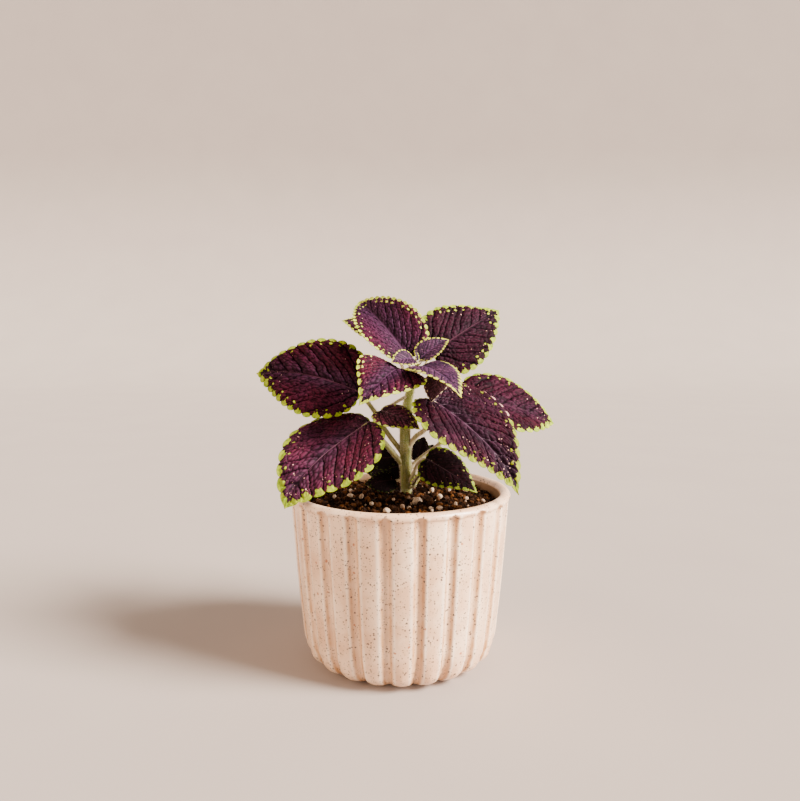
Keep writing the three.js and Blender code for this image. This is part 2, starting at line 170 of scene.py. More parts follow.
deselect_all()
bpy.ops.mesh.primitive_plane_add(size=FLOOR_SIZE, location=(0, FLOOR_BACK - FLOOR_SIZE / 2, 0))
floor = bpy.context.object
floor.name = "floor"
bpy.ops.object.transform_apply()
bpy.ops.object.mode_set(mode="EDIT")
bpy.ops.mesh.select_all(action="DESELECT")
bpy.ops.object.mode_set(mode="OBJECT")
floor.data.vertices.foreach_set("select", [corner.co.y > 0 for corner in floor.data.vertices])
bpy.ops.object.mode_set(mode="EDIT")
bpy.ops.mesh.select_mode(type="EDGE")
for turn in range(0, 90, SWEEP_STEP):
    before, after = math.radians(turn), math.radians(turn + SWEEP_STEP)
    extrude((0, SWEEP * (math.sin(after) - math.sin(before)),
             SWEEP * (math.cos(before) - math.cos(after))))
extrude((0, 0, BACKDROP_HEIGHT - SWEEP))
bpy.ops.mesh.select_mode(type="VERT")
bpy.ops.mesh.select_all(action="SELECT")
bpy.ops.transform.translate(value=(0, 0, -FLOOR_DROP))
bpy.ops.object.mode_set(mode="OBJECT")
bpy.ops.object.shade_smooth()
pale = Finish("pale_floor", "a89a90", {"Roughness": 0.85})
pale.coat("a1938a", pale.noise(9))
floor.data.materials.append(pale.finished())

# ---------------- pot
# A pot of speckled stoneware, thrown on a wheel, with flutes cut down its wall and a smooth
# rolled lip. The cream satin glaze breaks to tan where it runs thin on the flutes' edges.

RIM_RADIUS = 60
POT_HEIGHT = 93
FOOT_RADIUS = 36.5
CORNER = (51.7, 10)  # radius and height where the rounded foot meets the wall
WALL_SWELL = 0.6
WALL = 5.8
INNER_HEIGHTS = (82, 70, 55, 40, 28, 16)
INNER_CORNER = (1.5, 10)  # inwards from the inner wall, and height
POT_FLOOR = (5, 6)
OUTER_SKIN = 3  # points within this of the wall's outer face are on the outside
FLUTES = 22
FLUTE_TURN = math.radians(-7)
FLUTE_DEPTH = 1.5
FLUTE_COLUMNS = 24
FLUTE_HALF = 0.21  # half the flute's width, in parts of the flutes' spacing
FLUTE_TOP = 88.6
FLUTE_ARCH = 2.4  # the flute's middle reaches this much higher than its edges
FLUTE_STEPS = ((-1, 0.3), (0.4, 0.2), (1.5, 0.25), (2.8, 0.25))  # above a height, part of depth
WALL_MIDDLE = 57  # the wall's radius halfway up
PANEL_SWELL = 0.9  # how far the wall bulges between two flutes
FOOT_SWELL = 1.5  # and how much further round the foot, in steps below these heights
FOOT_TOPS = (16, 12, 7.2)
PANEL_RECESS = 0.7  # the wall steps back this much under the lip
RECESS_TOP = 89.9
RECESS_FALL = 1.0
LEDGE_WANDER = 0.8  # how unevenly the lower edge of the lip runs, over what height
LEDGE_SPREAD = 1.1
LEDGE_WAVE = 11
LEDGE_SEED = 61
INNER_TOP = 90.5
BROWN_EDGE, HIGHLIGHT_EDGE, EDGE_HALF = 0.14, 0.24, 0.04  # from the flute's middle, and half width


def smooth_step(value, low, high):
    share = np.clip((np.asarray(value, float) - low) / (high - low), 0, 1)
    return share * share * (3 - 2 * share)


def wall_radius(height):
    rise = max((height - CORNER[1]) / (POT_HEIGHT - CORNER[1]), 0)
    return CORNER[0] + (RIM_RADIUS - CORNER[0]) * rise ** WALL_SWELL


def pot_profile():
    """Radius and height from the edge of the foot, over the lip and down to the inner floor."""
    rings = []
    for turn in range(9, 91, 9):
        angle = math.radians(turn)
        rings.append((FOOT_RADIUS + (CORNER[0] - FOOT_RADIUS) * math.sin(angle),
                      CORNER[1] * (1 - math.cos(angle))))
    for z in (*range(13, 88, 3), 87.5, *np.arange(88.1, 90.2, 0.3)):
        recess = PANEL_RECESS * (1 - smooth_step(z, RECESS_TOP - RECESS_FALL, RECESS_TOP))
        recess *= smooth_step(z, CORNER[1], CORNER[1] + 15)
        rings.append((wall_radius(z) - float(recess), z))
    for turn in range(12, 181, 12):
        angle = math.radians(turn)
        rings.append((RIM_RADIUS - WALL / 2 + WALL / 2 * math.cos(angle),
                      POT_HEIGHT - WALL / 2 + WALL / 2 * math.sin(angle)))
    rings += [(wall_radius(z) - WALL, z) for z in INNER_HEIGHTS]
    return rings + [(CORNER[0] - WALL - inwards, z) for inwards, z in (INNER_CORNER, POT_FLOOR)]


def disc(name, sides, radius, place=(0, 0, 0), turn=0.0):
    """A flat disc, from which a piece is drawn up."""
    deselect_all()
    bpy.ops.mesh.primitive_circle_add(vertices=sides, radius=radius * MM, fill_type="NGON",
                                      location=[part * MM for part in place],
                                      rotation=(0, 0, turn))
    piece = bpy.context.object
    piece.name = name
    return piece


def start_edit():
    """Fix the piece where it lies and edit all of it."""
    bpy.ops.object.transform_apply()
    bpy.ops.object.mode_set(mode="EDIT")
    bpy.ops.mesh.select_all(action="SELECT")


def end_edit():
    """Turn all the faces outwards, let go of them and leave edit mode."""
    bpy.ops.mesh.select_all(action="SELECT")
    bpy.ops.mesh.normals_make_consistent(inside=False)
    bpy.ops.mesh.select_all(action="DESELECT")
    bpy.ops.object.mode_set(mode="OBJECT")


def draw_up(radius, height, rings):
    """Draw the disc up through rings of such a radius and height."""
    for wider, higher in rings:
        extrude((0, 0, (higher - height) * MM))
        bpy.ops.transform.resize(value=(wider / radius, wider / radius, 1))
        radius, height = wider, higher


pot = disc("stoneware_pot", FLUTES * FLUTE_COLUMNS, FOOT_RADIUS, turn=FLUTE_TURN)
start_edit()
draw_up(FOOT_RADIUS, 0, pot_profile())
end_edit()


def flute_place(points):
    """How far round each point lies from the middle of the nearest flute, in spacings."""
    turn = np.arctan2(points[:, 0], -points[:, 1]) - FLUTE_TURN
    place = turn * FLUTES / (2 * math.pi)
    return place - np.round(place)


def mesh_points(piece):
    points = np.empty(len(piece.data.vertices) * 3)
    piece.data.vertices.foreach_get("co", points)
    return points.reshape(-1, 3)


def ripple(x, y, length, seed):
    """A cheap rolling unevenness of that wave length, from -1 to 1."""
    total = np.zeros_like(x)
    for angle, phase in np.random.default_rng(seed).uniform(0, 2 * math.pi, (5, 2)):
        along = x * math.cos(angle) + y * math.sin(angle)
        total += np.sin(along * 2 * math.pi / length + phase)
    return total / 5


def bump(value, middle, half):
    """A smooth hump round the middle, 1 high and about that half width."""
    return np.exp(-((value - middle) / half) ** 2)


def draw_in(chosen, inwards):
    """Draw the chosen points of the pot towards its axis by that share."""
    pot.data.vertices.foreach_set("select", chosen)
    bpy.ops.object.mode_set(mode="EDIT")
    bpy.ops.transform.resize(value=(1 - inwards, 1 - inwards, 1), center_override=(0, 0, 0))
    bpy.ops.mesh.select_all(action="DESELECT")
    bpy.ops.object.mode_set(mode="OBJECT")


points = mesh_points(pot) / MM
height, from_axis = points[:, 2], np.hypot(points[:, 0], points[:, 1])
outside = from_axis > np.array([wall_radius(z) - OUTER_SKIN for z in height])
outside |= (height < CORNER[1]) & (from_axis > FOOT_RADIUS - 0.1)
column = np.abs(np.round(flute_place(points) * FLUTE_COLUMNS)).astype(int)
for away in range(FLUTE_COLUMNS // 2):
    share = away / FLUTE_COLUMNS
    here = outside & (column == away)
    for top in FOOT_TOPS:
        draw_in(here & (height < top), FOOT_SWELL / 3 * (1 - 2 * share) ** 1.5 / FOOT_RADIUS)
    hollow = math.cos(min(share / FLUTE_HALF, 1) * math.pi / 2)
    depth = FLUTE_DEPTH * hollow ** 1.3 + PANEL_SWELL * (1 - 2 * share) ** 2
    cut = here & (height < FLUTE_TOP + FLUTE_ARCH * hollow)
    for lowest, part in FLUTE_STEPS:
        draw_in(cut & (height > lowest), depth * part / WALL_MIDDLE)
bpy.ops.object.shade_smooth()
worn = mesh_points(pot) / MM
ledge = outside * bump(height, RECESS_TOP, LEDGE_SPREAD)
worn[:, 2] += LEDGE_WANDER * ledge * ripple(points[:, 0], points[:, 1], LEDGE_WAVE, LEDGE_SEED)
pot.data.vertices.foreach_set("co", (worn * MM).ravel())


def mark(piece, name, values):
    """A number on each point of the piece that its material reads."""
    attribute = piece.data.attributes.new(name, "FLOAT", "POINT")
    attribute.data.foreach_set("value", np.asarray(values, np.float32))


away = np.abs(flute_place(points))
fluted = outside & (height < FLUTE_TOP + FLUTE_ARCH)
mark(pot, "flute", fluted * (1 - smooth_step(away, 0.05, FLUTE_HALF)))
mark(pot, "flute_edge", fluted * bump(away, BROWN_EDGE, EDGE_HALF))
mark(pot, "flute_highlight", fluted * bump(away, HIGHLIGHT_EDGE, EDGE_HALF))
# The inner wall is marked for painted shade, as the leaves shade it.
mark(pot, "inner", ~outside & (height < INNER_TOP))

SPECKS = (  # cells to the metre, reach in a cell, share of cells, colour
    (900, 0.3, 0.5, "3c1e10"), (520, 0.27, 0.6, "220e06"), (330, 0.205, 0.65, "1c0b04"),
    (210, 0.135, 0.75, "1c0b04"), (150, 0.13, 0.6, "a85c28"),
)
SPECK_JAGS = (0.0011, 0.0011, 0.0011)  # metres

glaze = Finish("speckled_stoneware", "f0c9a4", {"Coat Weight": 1.0, "Coat Roughness": 0.34})
cloud = glaze.noise(55, 5)
glaze.coat("daaa82", glaze.ramp(cloud, 0.35, 0.62))
glaze.coat("d2a47a", glaze.ramp(glaze.noise(210, 4), 0.5, 0.75, 0, 0.5))
# Tan in the flutes: partly glaze pooled in the hollows, partly painted shade there.
pooled_and_shaded = glaze.ramp(glaze.noise(60, 3), 0.2, 0.7, 0.05, 0.3)
glaze.coat("cc9c6a", glaze.marked("flute"), pooled_and_shaded)
thin = glaze.ramp(glaze.noise(130, 3), 0.35, 0.65, 0.4, 1)
glaze.coat("b07434", glaze.marked("flute_edge"), thin)
# A pale band along each flute's outer edge is painted highlight, where the rounded edge catches the
# light.
glaze.coat("fff0d8", glaze.marked("flute_highlight"), 0.45)
wobble = glaze.node("ShaderNodeTexNoise", {"Vector": glaze.place, "Scale": 1100}).outputs["Color"]
jagged = glaze.node("ShaderNodeVectorMath", {0: wobble, 1: SPECK_JAGS, 2: glaze.place},
                    operation="MULTIPLY_ADD").outputs[0]
for scale, reach, chance, colour in SPECKS:
    cells = glaze.node("ShaderNodeTexVoronoi", {"Vector": jagged, "Scale": scale}).outputs
    lot = glaze.node("ShaderNodeSeparateColor", {0: cells["Color"]}).outputs[0]
    speck = glaze.ramp(cells["Distance"], reach * 0.6, reach, 0.95, 0)
    glaze.coat(colour, glaze.arithmetic("GREATER_THAN", lot, chance), speck)
# Painted shade over the whole inner wall, which lies under the leaves.
glaze.coat("84603e", glaze.marked("inner"), 0.85)
glaze.link("Roughness", glaze.ramp(cloud, 0.3, 0.7, 0.3, 0.42))
glaze.roughen(glaze.noise(260, 3), 0.25, 0.0006)
pot.data.materials.append(glaze.finished())
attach(pot, "root")
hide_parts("pot")

# ---------------- potting mix
# Damp potting mix of peat and composted bark, filled up to just under the lip. It is one
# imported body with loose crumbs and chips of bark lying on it.

SOIL_EDGE = 86
SOIL_MOUND = 1.6
MOUND_RADIUS_SQUARED = 2900
SOIL_GAP = 0.3
SOIL_HEIGHTS = (16, 40, 64, SOIL_EDGE)
SOIL_COLUMNS = 180
SOIL_RINGS = 60
SOIL_RIPPLES = ((0.5, 2.3, 3), (0.3, 1.1, 4))  # height, wave length and seed
SOIL_LUMPS = 130
LUMP_REACH = 51
LUMP_SIZE = (1.6, 3.4)
LUMP_HEIGHT = 1.7
LUMP_SEED = 41
CRUMBS = 2100
CRUMB_REACH = 52.3
CHIPS = 300
CHIP_SIZE = (1.7, 3.9)


def soil_lumps():
    """Across, forwards and size of the lumps, from the same draws as in the solid soil."""
    state, draws = LUMP_SEED, []
    for _ in range(3 * SOIL_LUMPS):
        state = state * 48271 % 2147483647
        draws.append(state / 2147483647)
    lumps = []
    for away, turn, larger in np.reshape(draws, (-1, 3)):
        reach, angle = LUMP_REACH * math.sqrt(away), 2 * math.pi * turn
        lumps.append((reach * math.cos(angle), reach * math.sin(angle),
                      LUMP_SIZE[0] + (LUMP_SIZE[1] - LUMP_SIZE[0]) * larger))
    return np.array(lumps)


LUMPS = soil_lumps()


def soil_height(x, y):
    away = np.hypot(x[:, None] - LUMPS[:, 0], y[:, None] - LUMPS[:, 1]) / LUMPS[:, 2]
    lumps = LUMP_HEIGHT * np.sqrt(np.clip(1 - away * away, 0, None)).max(axis=1)
    return SOIL_EDGE + SOIL_MOUND * (1 - (x * x + y * y) / MOUND_RADIUS_SQUARED) + lumps


lowest, *higher = [(wall_radius(z) - WALL - SOIL_GAP, z) for z in SOIL_HEIGHTS]
soil = disc("potting_mix", SOIL_COLUMNS, lowest[0], (0, 0, lowest[1]))
start_edit()
draw_up(*lowest, higher)
for ring in range(SOIL_RINGS):
    bpy.ops.mesh.inset(thickness=higher[-1][0] / (SOIL_RINGS + 0.5) * MM)
end_edit()
points = mesh_points(soil) / MM
surface = points[:, 2] > SOIL_EDGE - 0.1
x, y = points[surface, 0], points[surface, 1]
level = soil_height(x, y) - 0.5
for rise, wave, seed in SOIL_RIPPLES:
    level += rise * ripple(x, y, wave, seed)
points[surface, 2] = level
soil.data.vertices.foreach_set("co", (points * MM).ravel())
bpy.ops.object.shade_smooth()

peat = Finish("peat", "0a0300", {"Roughness": 0.9, "Specular IOR Level": 0.05})
grain = peat.noise(700, 4)
peat.coat("221005", peat.ramp(grain, 0.35, 0.7))
peat.roughen(grain, 1.0, 0.001)
soil.data.materials.append(peat.finished())


def crumb_shape(seed, subdivisions, flatness, bumps=0.16):
    """A small angular lump: a ball with its points pushed about, then flattened."""
    deselect_all()
    bpy.ops.mesh.primitive_ico_sphere_add(subdivisions=subdivisions, radius=0.5)
    lump = bpy.context.object
    start_edit()
    bpy.ops.transform.vertex_random(offset=bumps, seed=seed)
    bpy.ops.transform.resize(value=(1, 1, flatness))
    bpy.ops.object.mode_set(mode="OBJECT")
    triangles = np.array([list(face.vertices) for face in lump.data.polygons])
    shape = mesh_points(lump), triangles
    bpy.data.objects.remove(lump)
    return shape


def mesh_piece(name, points, faces):
    mesh = bpy.data.meshes.new(name)
    mesh.from_pydata((points * MM).tolist(), [], faces)
    piece = bpy.data.objects.new(name, mesh)
    bpy.context.scene.collection.objects.link(piece)
    return piece


def scattered(name, shapes, places, sizes, seed):
    """One mesh of many small lumps, each a shape turned at random, with a shade of its own."""
    draw = np.random.default_rng(seed)
    points, faces, shades, count = [], [], [], 0
    for spot, size in zip(places, sizes):
        lump, triangles = shapes[draw.integers(len(shapes))]
        turned = np.array(Matrix.Rotation(draw.uniform(0, 6.28), 3, Vector(draw.normal(size=3))))
        stretched = lump * size * draw.uniform(0.75, 1.25, 3)
        points.append(stretched @ turned.T + spot)
        faces.append(triangles + count)
        shades.append(np.full(len(lump), draw.uniform()))
        count += len(lump)
    piece = mesh_piece(name, np.concatenate(points), np.concatenate(faces).tolist())
    mark(piece, "shade", np.concatenate(shades))
    return piece


def soil_spots(count, seed, sink):
    draw = np.random.default_rng(seed)
    distance = CRUMB_REACH * np.sqrt(draw.uniform(size=count))
    angle = draw.uniform(0, 2 * math.pi, count)
    x, y = distance * np.cos(angle), distance * np.sin(angle)
    return np.stack([x, y, soil_height(x, y) - sink], axis=1)


crumb_shapes = [crumb_shape(seed, 1, 0.8) for seed in range(6)]
chip_shapes = [crumb_shape(seed, 1, 0.65) for seed in range(10, 14)]
draw = np.random.default_rng(7)
crumbs = scattered("peat_crumbs", crumb_shapes, soil_spots(CRUMBS, 21, 0.35),
                   0.9 + 2.2 * draw.uniform(size=CRUMBS) ** 2, 22)
chips = scattered("bark_chips", chip_shapes, soil_spots(CHIPS, 31, -0.2),
                  draw.uniform(*CHIP_SIZE, CHIPS), 32)


def crumb_material(name, dark, light, roughness):
    crumb = Finish(name, dark, {"Roughness": roughness, "Specular IOR Level": 0.06})
    grain = crumb.noise(1200, 3)
    crumb.coat(light, crumb.marked("shade"), crumb.ramp(grain, 0.2, 0.8, 0.5, 1.2))
    crumb.roughen(grain, 0.8, 0.0006)
    return crumb.finished()


crumbs.data.materials.append(crumb_material("peat_crumb", "0a0300", "3e2109", 0.7))
chips.data.materials.append(crumb_material("bark", "160802", "683c16", 0.5))
for piece in (soil, crumbs, chips):
    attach(piece, "root")
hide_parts("soil")

# ---------------- perlite
# White grains of puffed volcanic glass, mixed into the soil to keep it airy. A few large
# ones show near the front edge, and small ones lie all over.

LARGE_GRAINS = (  # across, forwards and size
    (9.3, -13.4, 4.6), (-6.8, -32.6, 4.1), (17.7, 6, 3.4), (21.6, -3, 4.2),
    (20.3, -26.4, 3.4), (-27.3, 0, 3.3), (-20.8, -6.5, 2.8), (4.6, -6.2, 2.3),
    (29.2, -17.8, 2.8), (36.2, -4.2, 2.8), (1.3, -24.3, 2.7), (-15, -17.8, 2.3),
    (-35.4, -6.5, 2.3), (28, 16, 2.4), (-3.5, -13, 2.3), (44, -14, 2.6), (-9, -48, 2.2),
    (33, -33, 2.4),
)
SMALL_GRAINS = 90

grain_shapes = [crumb_shape(seed, 2, 0.8, 0.07) for seed in range(20, 25)]
large = np.array(LARGE_GRAINS)
large_spots = np.column_stack([large[:, :2], soil_height(large[:, 0], large[:, 1]) + 1.0])
spots = np.concatenate([large_spots, soil_spots(SMALL_GRAINS, 51, -0.1)])
small = 0.8 + 1.9 * np.random.default_rng(52).uniform(size=SMALL_GRAINS) ** 2
sizes = np.concatenate([large[:, 2], small])
perlite = scattered("perlite_grains", grain_shapes, spots, sizes, 53)
perlite.data.polygons.foreach_set("use_smooth", [True] * len(perlite.data.polygons))
perlite.data.materials.append(crumb_material("perlite", "8a6a54", "d0b69a", 0.7))
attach(perlite, "root")

# ---------------- stem
# A soft square stem, olive green with paler corners, a little swollen where each pair of
# leaves parts from it. It goes down into the soil, where its roots hold it.

STEM_PATH = ((4, 8, 70), (3.6, 8, 89), (3.2, 7, 101), (3, 5.5, 113), (2.8, 4, 124),
             (4, 2.5, 138), (6.2, 1, 149), (8.6, 0, 158), (9.4, 0, 161))
STEM_HALF_SIDE = (2.7, 2.9, 3.0, 3.0, 3.0, 3.0, 2.6, 1.8, 1.0)
STEM_CORNER = 0.9
CORNER_ROUNDING = 0.35
STEM_JOINTS = (105, 113, 147, 155)
JOINT_SWELL = 0.14
JOINT_REACH = 2.5
STEM_STEPS = 60
STEM_SIDES = 16
PATH_STEPS = 24  # between two corners of a path


def run_along(points, power=1):
    """How far along the line each of its points lies."""
    steps = np.linalg.norm(np.diff(points, axis=0), axis=1) ** power
    return np.concatenate([[0], np.cumsum(steps)])


def between(first, second, start, end, t):
    """The point at time t on the way from the first at the start to the second at the end."""
    return (first * (end - t) + second * (t - start)) / (end - start)


def smooth_path(corners, count):
    """Evenly spaced points on a smooth curve through the corners."""
    corners = np.asarray(corners, float)
    knots = run_along(corners, 0.5)
    ends = [2 * corners[0] - corners[1], 2 * corners[-1] - corners[-2]]
    guides = np.vstack([ends[0], corners, ends[1]])
    steps = np.concatenate([[-knots[1]], knots, [2 * knots[-1] - knots[-2]]])
    curve = []
    for i in range(len(corners) - 1):
        a, b, c, d = guides[i:i + 4]
        t0, t1, t2, t3 = steps[i:i + 4]
        for t in np.linspace(t1, t2, PATH_STEPS, endpoint=False):
            ab, bc = between(a, b, t0, t1, t), between(b, c, t1, t2, t)
            cd = between(c, d, t2, t3, t)
            abc, bcd = between(ab, bc, t0, t2, t), between(bc, cd, t1, t3, t)
            curve.append(between(abc, bcd, t1, t2, t))
    curve = np.array(curve + [corners[-1]])
    length = run_along(curve)
    wanted = np.linspace(0, length[-1], count)
    return np.stack([np.interp(wanted, length, curve[:, axis]) for axis in range(3)], axis=1)


stem_line = smooth_path(STEM_PATH, STEM_STEPS + 1)
along = np.linspace(0, len(STEM_HALF_SIDE) - 1, STEM_STEPS + 1)
half_side = np.interp(along, range(len(STEM_HALF_SIDE)), STEM_HALF_SIDE)
for joint in STEM_JOINTS:
    half_side *= 1 + JOINT_SWELL * bump(stem_line[:, 2], joint, JOINT_REACH)

stem = disc("square_stem", STEM_SIDES, half_side[0], stem_line[0])
for i, vertex in enumerate(stem.data.vertices):
    angle = 2 * math.pi * i / STEM_SIDES
    square = 1 / max(abs(math.cos(angle)), abs(math.sin(angle)))
    vertex.co *= 1 + (square * (1 - CORNER_ROUNDING * (square - 1)) - 1) * STEM_CORNER
start_edit()
for i in range(1, STEM_STEPS + 1):
    extrude((stem_line[i] - stem_line[i - 1]) * MM)
    grow = half_side[i] / half_side[i - 1]
    bpy.ops.transform.resize(value=(grow, grow, 1), center_override=stem_line[i] * MM)
bpy.ops.mesh.select_all(action="SELECT")
# One fixed order of faces, because the down is drawn over them in turn.
bpy.ops.mesh.sort_elements(type="CURSOR_DISTANCE", elements={"FACE"})
end_edit()
bpy.ops.object.shade_smooth()
x, y, z = mesh_points(stem).T / MM
x -= np.interp(z, stem_line[:, 2], stem_line[:, 0])
y -= np.interp(z, stem_line[:, 2], stem_line[:, 1])
girth = np.interp(z, stem_line[:, 2], half_side)
mark(stem, "corner", smooth_step(np.hypot(x, y) / girth, 1.02, 1.3))


def shoot_material(name, pale, green, blush, fresh_and_lit=0.0):
    """Shoot skin with fine streaks and a blush, and that much lighter, fresher green in its upper
    part: partly young growth, partly painted light.
    """
    skin = Finish(name, green, {
        "Roughness": 0.55, "Subsurface Weight": 0.12, "Subsurface Radius": (0.4, 0.5, 0.2),
        "Subsurface Scale": 0.002, "Sheen Weight": 0.35, "Sheen Tint": paint("f0d9cf")})
    streaked = skin.node("ShaderNodeMapping", {"Vector": skin.place, "Scale": (1, 1, 0.2)})
    streak = skin.noise(900, 3, streaked.outputs[0])
    skin.coat(pale, skin.ramp(streak, 0.3, 0.7))
    skin.coat(blush, skin.ramp(skin.noise(120), 0.35, 0.7), 0.5)
    height = skin.node("ShaderNodeSeparateXYZ", {0: skin.place}).outputs["Z"]
    # The upper stem is painted lighter: partly fresher young growth, partly painted light where the
    # leaves above shade it.
    skin.coat("8ea03e", skin.ramp(height, 0.118, 0.145, 0, fresh_and_lit))
    skin.coat(pale, skin.marked("corner"), 0.6)
    skin.roughen(streak, 0.3, 0.0003)
    return skin.finished()


stem.data.materials.append(shoot_material("stem_skin", "8e8c40", "566519", "7e703a", 0.6))
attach(stem, "root")
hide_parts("stem")

# ---------------- leaves
# Each leaf is a thin blade on a stalk, in opposite pairs up the stem. The blade is quilted
# between its veins, plum with a lime tooth all round the edge, and grows paler and more
# violet towards the bud. It is cut as one sheet, thickest in the middle.

TOOTH_DEPTH = 0.026  # in blade lengths
WAIST = 0.5  # how roundly the edge leaves the stalk
BLADE_THICKNESS = 0.7
EDGE_THICKNESS = 0.4  # share of it left at the edge
POINT_SPACING = 0.5
EDGE_CURL = 0.45
LEAF_COLUMNS = ("age", "stalk", "stalk_radius", "base", "tip", "width", "roll", "arch", "sway",
                "fold", "cup", "twist", "fullness", "lobe", "teeth")
LEAVES = {
    "leaf_1_left": ("old", [(2.5, 6.5, 103), (-7.3, -2, 116.8), (-12.4, -8, 124.2)], (1.5, 1.1),
        (-16, -12, 131), (-57, -40, 91), 52, -29, (0.01, 0.17), 0.06, 5, 0.08, -45, 1.08, 0.2,
        12),
    "leaf_1_right": ("aged",
        [(3.6, 6.5, 101), (12.6, 9, 108.2), (22.7, 11, 115.8), (31, 13, 128)], (1.5, 1.1),
        (36, 14, 141.5), (91.5, 36, 123.5), 43, 45, (0.08, 0.12), 0.04, 10, 0.03, 21, 1.2, 0.29,
        12),
    "leaf_2_left": ("aged", [(3, 5.2, 109), (-8, 4, 124.1), (-14.5, 3, 135.3)], (1.5, 1.1),
        (-22, 2, 145), (-83, 26, 154), 49, -54, (0.13, 0.13), 0.03, 6, 0.01, -17, 1.15, 0.17, 16),
    "leaf_2_right": ("broad",
        [(3, 5, 111), (8.5, 2, 120.6), (13.3, -1, 124.8), (17.4, -7, 133.2)], (1.5, 1.1),
        (16, -12, 143), (59.5, -36, 97), 56, 24, (0.07, 0.16), -0.03, 19, 0.16, 19, 1.4, 0.3, 17),
    "leaf_3_left": ("middle", [(5.2, 1.5, 146), (1, -1.5, 153.5)], (1.2, 0.9), (-0.7, -6, 158.9),
        (-20.4, -36, 141.9), 36.5, -24, (0.15, 0.16), -0.04, 5.7, 0.02, 7, 1.35, 0.31, 11),
    "leaf_3_right": ("deep", [(6, 1.5, 146.5), (12.4, 8, 156.5)], (1.2, 0.9), (19, 14.2, 166.8),
        (58.7, 41, 190.8), 40, 54, (0.09, 0.09), 0.01, 2, 0.06, -16, 1.22, 0.49, 14),
    "leaf_4_right": ("young", [(7.6, 0.5, 154.5)], (0.9, 0.8), (11.4, -5.8, 159.9),
        (30, -42, 146.2), 25, -4, (0.09, 0.11), 0.01, 9, 0.09, -31, 1.31, 0.39, 15),
    "leaf_4_left": ("middle", [(7.6, 0.5, 154.5), (5.6, 4.2, 159)], (1.0, 0.8), (4, 8.8, 164.1),
        (-24, 35.6, 195.3), 38, -33, (0.08, 0.08), 0.01, 25, -0.02, -19, 0.95, 0.43, 20),
    "leaf_5_left": ("young", [(9, 0, 160)], (0.6, 0.5), (7.2, -2.6, 163.6), (-4.6, -11.5, 162),
        12, -42, (0.08, 0.08), 0.01, 12, 0.02, -8, 1.09, 0.32, 10),
    "leaf_5_right": ("young", [(9.2, 0, 160)], (0.6, 0.5), (11, 2.8, 163.4), (27, 10.4, 173.6),
        15, 33, (0.08, 0.1), -0.01, 16, 0.02, -1, 1.08, 0.31, 12),
    "bud_leaf_front": ("young", [(9.3, 0, 159.8)], (0.5, 0.4), (10.6, -2.2, 161.6),
        (13.2, -3.2, 163.4), 2.6, 0, (0.1, 0.1), 0, 20, 0, 0, 1.1, 0.2, 4),
    "bud_leaf_back": ("young", [(9.3, 0, 159.8)], (0.5, 0.4), (9, 0.4, 162.6), (8, 1.2, 168), 3.2,
        0, (0.1, 0.1), 0, 20, 0, 0, 1.1, 0.2, 5),
    "shoot_leaf_front": ("shaded", [(4.3, 1.5, 143.5), (-2.9, -6, 140)], (0.9, 0.7),
        (-10, -14, 137), (10.5, -22, 128), 20, 29, (0.08, 0.17), 0.05, 5, 0.12, 6, 1.24, 0.47,
        11),
    "shoot_leaf_side": ("dusky", [(6, 1, 150), (14, -3, 153)], (0.8, 0.6), (21.6, -6.5, 155.6),
        (16.2, -20.2, 142), 14, 0, (0.04, 0.08), 0.02, 6, 0.1, 5, 1.16, 0.35, 9),
    "shoot_leaf_back": ("middle", [(5, 3, 142), (2, 18, 156), (-3.5, 29, 169)], (1.0, 0.8),
        (-6.5, 34, 175.5), (-35, 46, 184.5), 23, -28, (0.04, 0.09), 0.02, 8, 0.09, 2, 1.17, 0.35,
        11),
    "basal_leaf_front": ("dim", [(4, 7.5, 92), (7.6, 3, 100), (10, 0, 106.3)], (1.3, 0.9),
        (14, -6, 110), (40, -22, 95), 23, 36, (0.01, 0.04), -0.02, 6, 0.12, -22, 1.22, 0.34, 11),
    "basal_leaf_right_low": ("hidden", [(3.5, 7, 99), (7.4, 12, 101)], (0.7, 0.6), (9.5, 17, 105),
        (14, 21, 118), 13, 45, (0.04, 0.08), -0.01, 7, 0.1, 5, 1.11, 0.35, 8),
    "basal_leaf_right_high": ("hidden", [(3.4, 7.2, 97), (10.5, 11.5, 99.5)], (0.7, 0.6),
        (14.5, 20, 103.5), (19.5, 27.5, 112.5), 9, 35, (0.06, 0.08), -0.02, 12, 0.06, 2, 1.13,
        0.35, 8),
    "basal_leaf_right_front": ("green", [(4, 7.5, 91)], (0.9, 0.7), (7.5, 3.6, 93.4),
        (12.2, 1.4, 101), 6, -25, (0.05, 0.05), 0.02, 16, 0.05, 0, 1.1, 0.25, 6),
    "basal_leaf_left_high": ("hidden", [(3.2, 7, 103)], (0.8, 0.6), (-3.4, 11.5, 107.5),
        (-21, 16, 104.6), 13, -65, (0.04, 0.06), 0.02, 3, 0.11, 3, 1.13, 0.35, 9),
    "basal_leaf_left_middle": ("hidden", [(3.3, 7.6, 100)], (0.8, 0.6), (0.5, 15, 102),
        (-20.5, 22.5, 97.5), 15, -70, (0.04, 0.05), -0.02, 4, 0.11, 6, 1.12, 0.35, 9),
    "basal_leaf_left_low": ("hidden", [(3.4, 7.5, 95)], (0.8, 0.6), (-2.8, 8.5, 95.5),
        (-20, 5.5, 93.6), 12.5, -55, (0.05, 0.07), -0.02, 1, 0.12, 4, 1.15, 0.35, 10),
}
USUAL_TRAITS = {"swell": 1, "glints": 16, "left_curl": EDGE_CURL, "rib_size": 1,
                "rib_fade": 0.8, "olive_stalk": False, "knuckled_left": False}
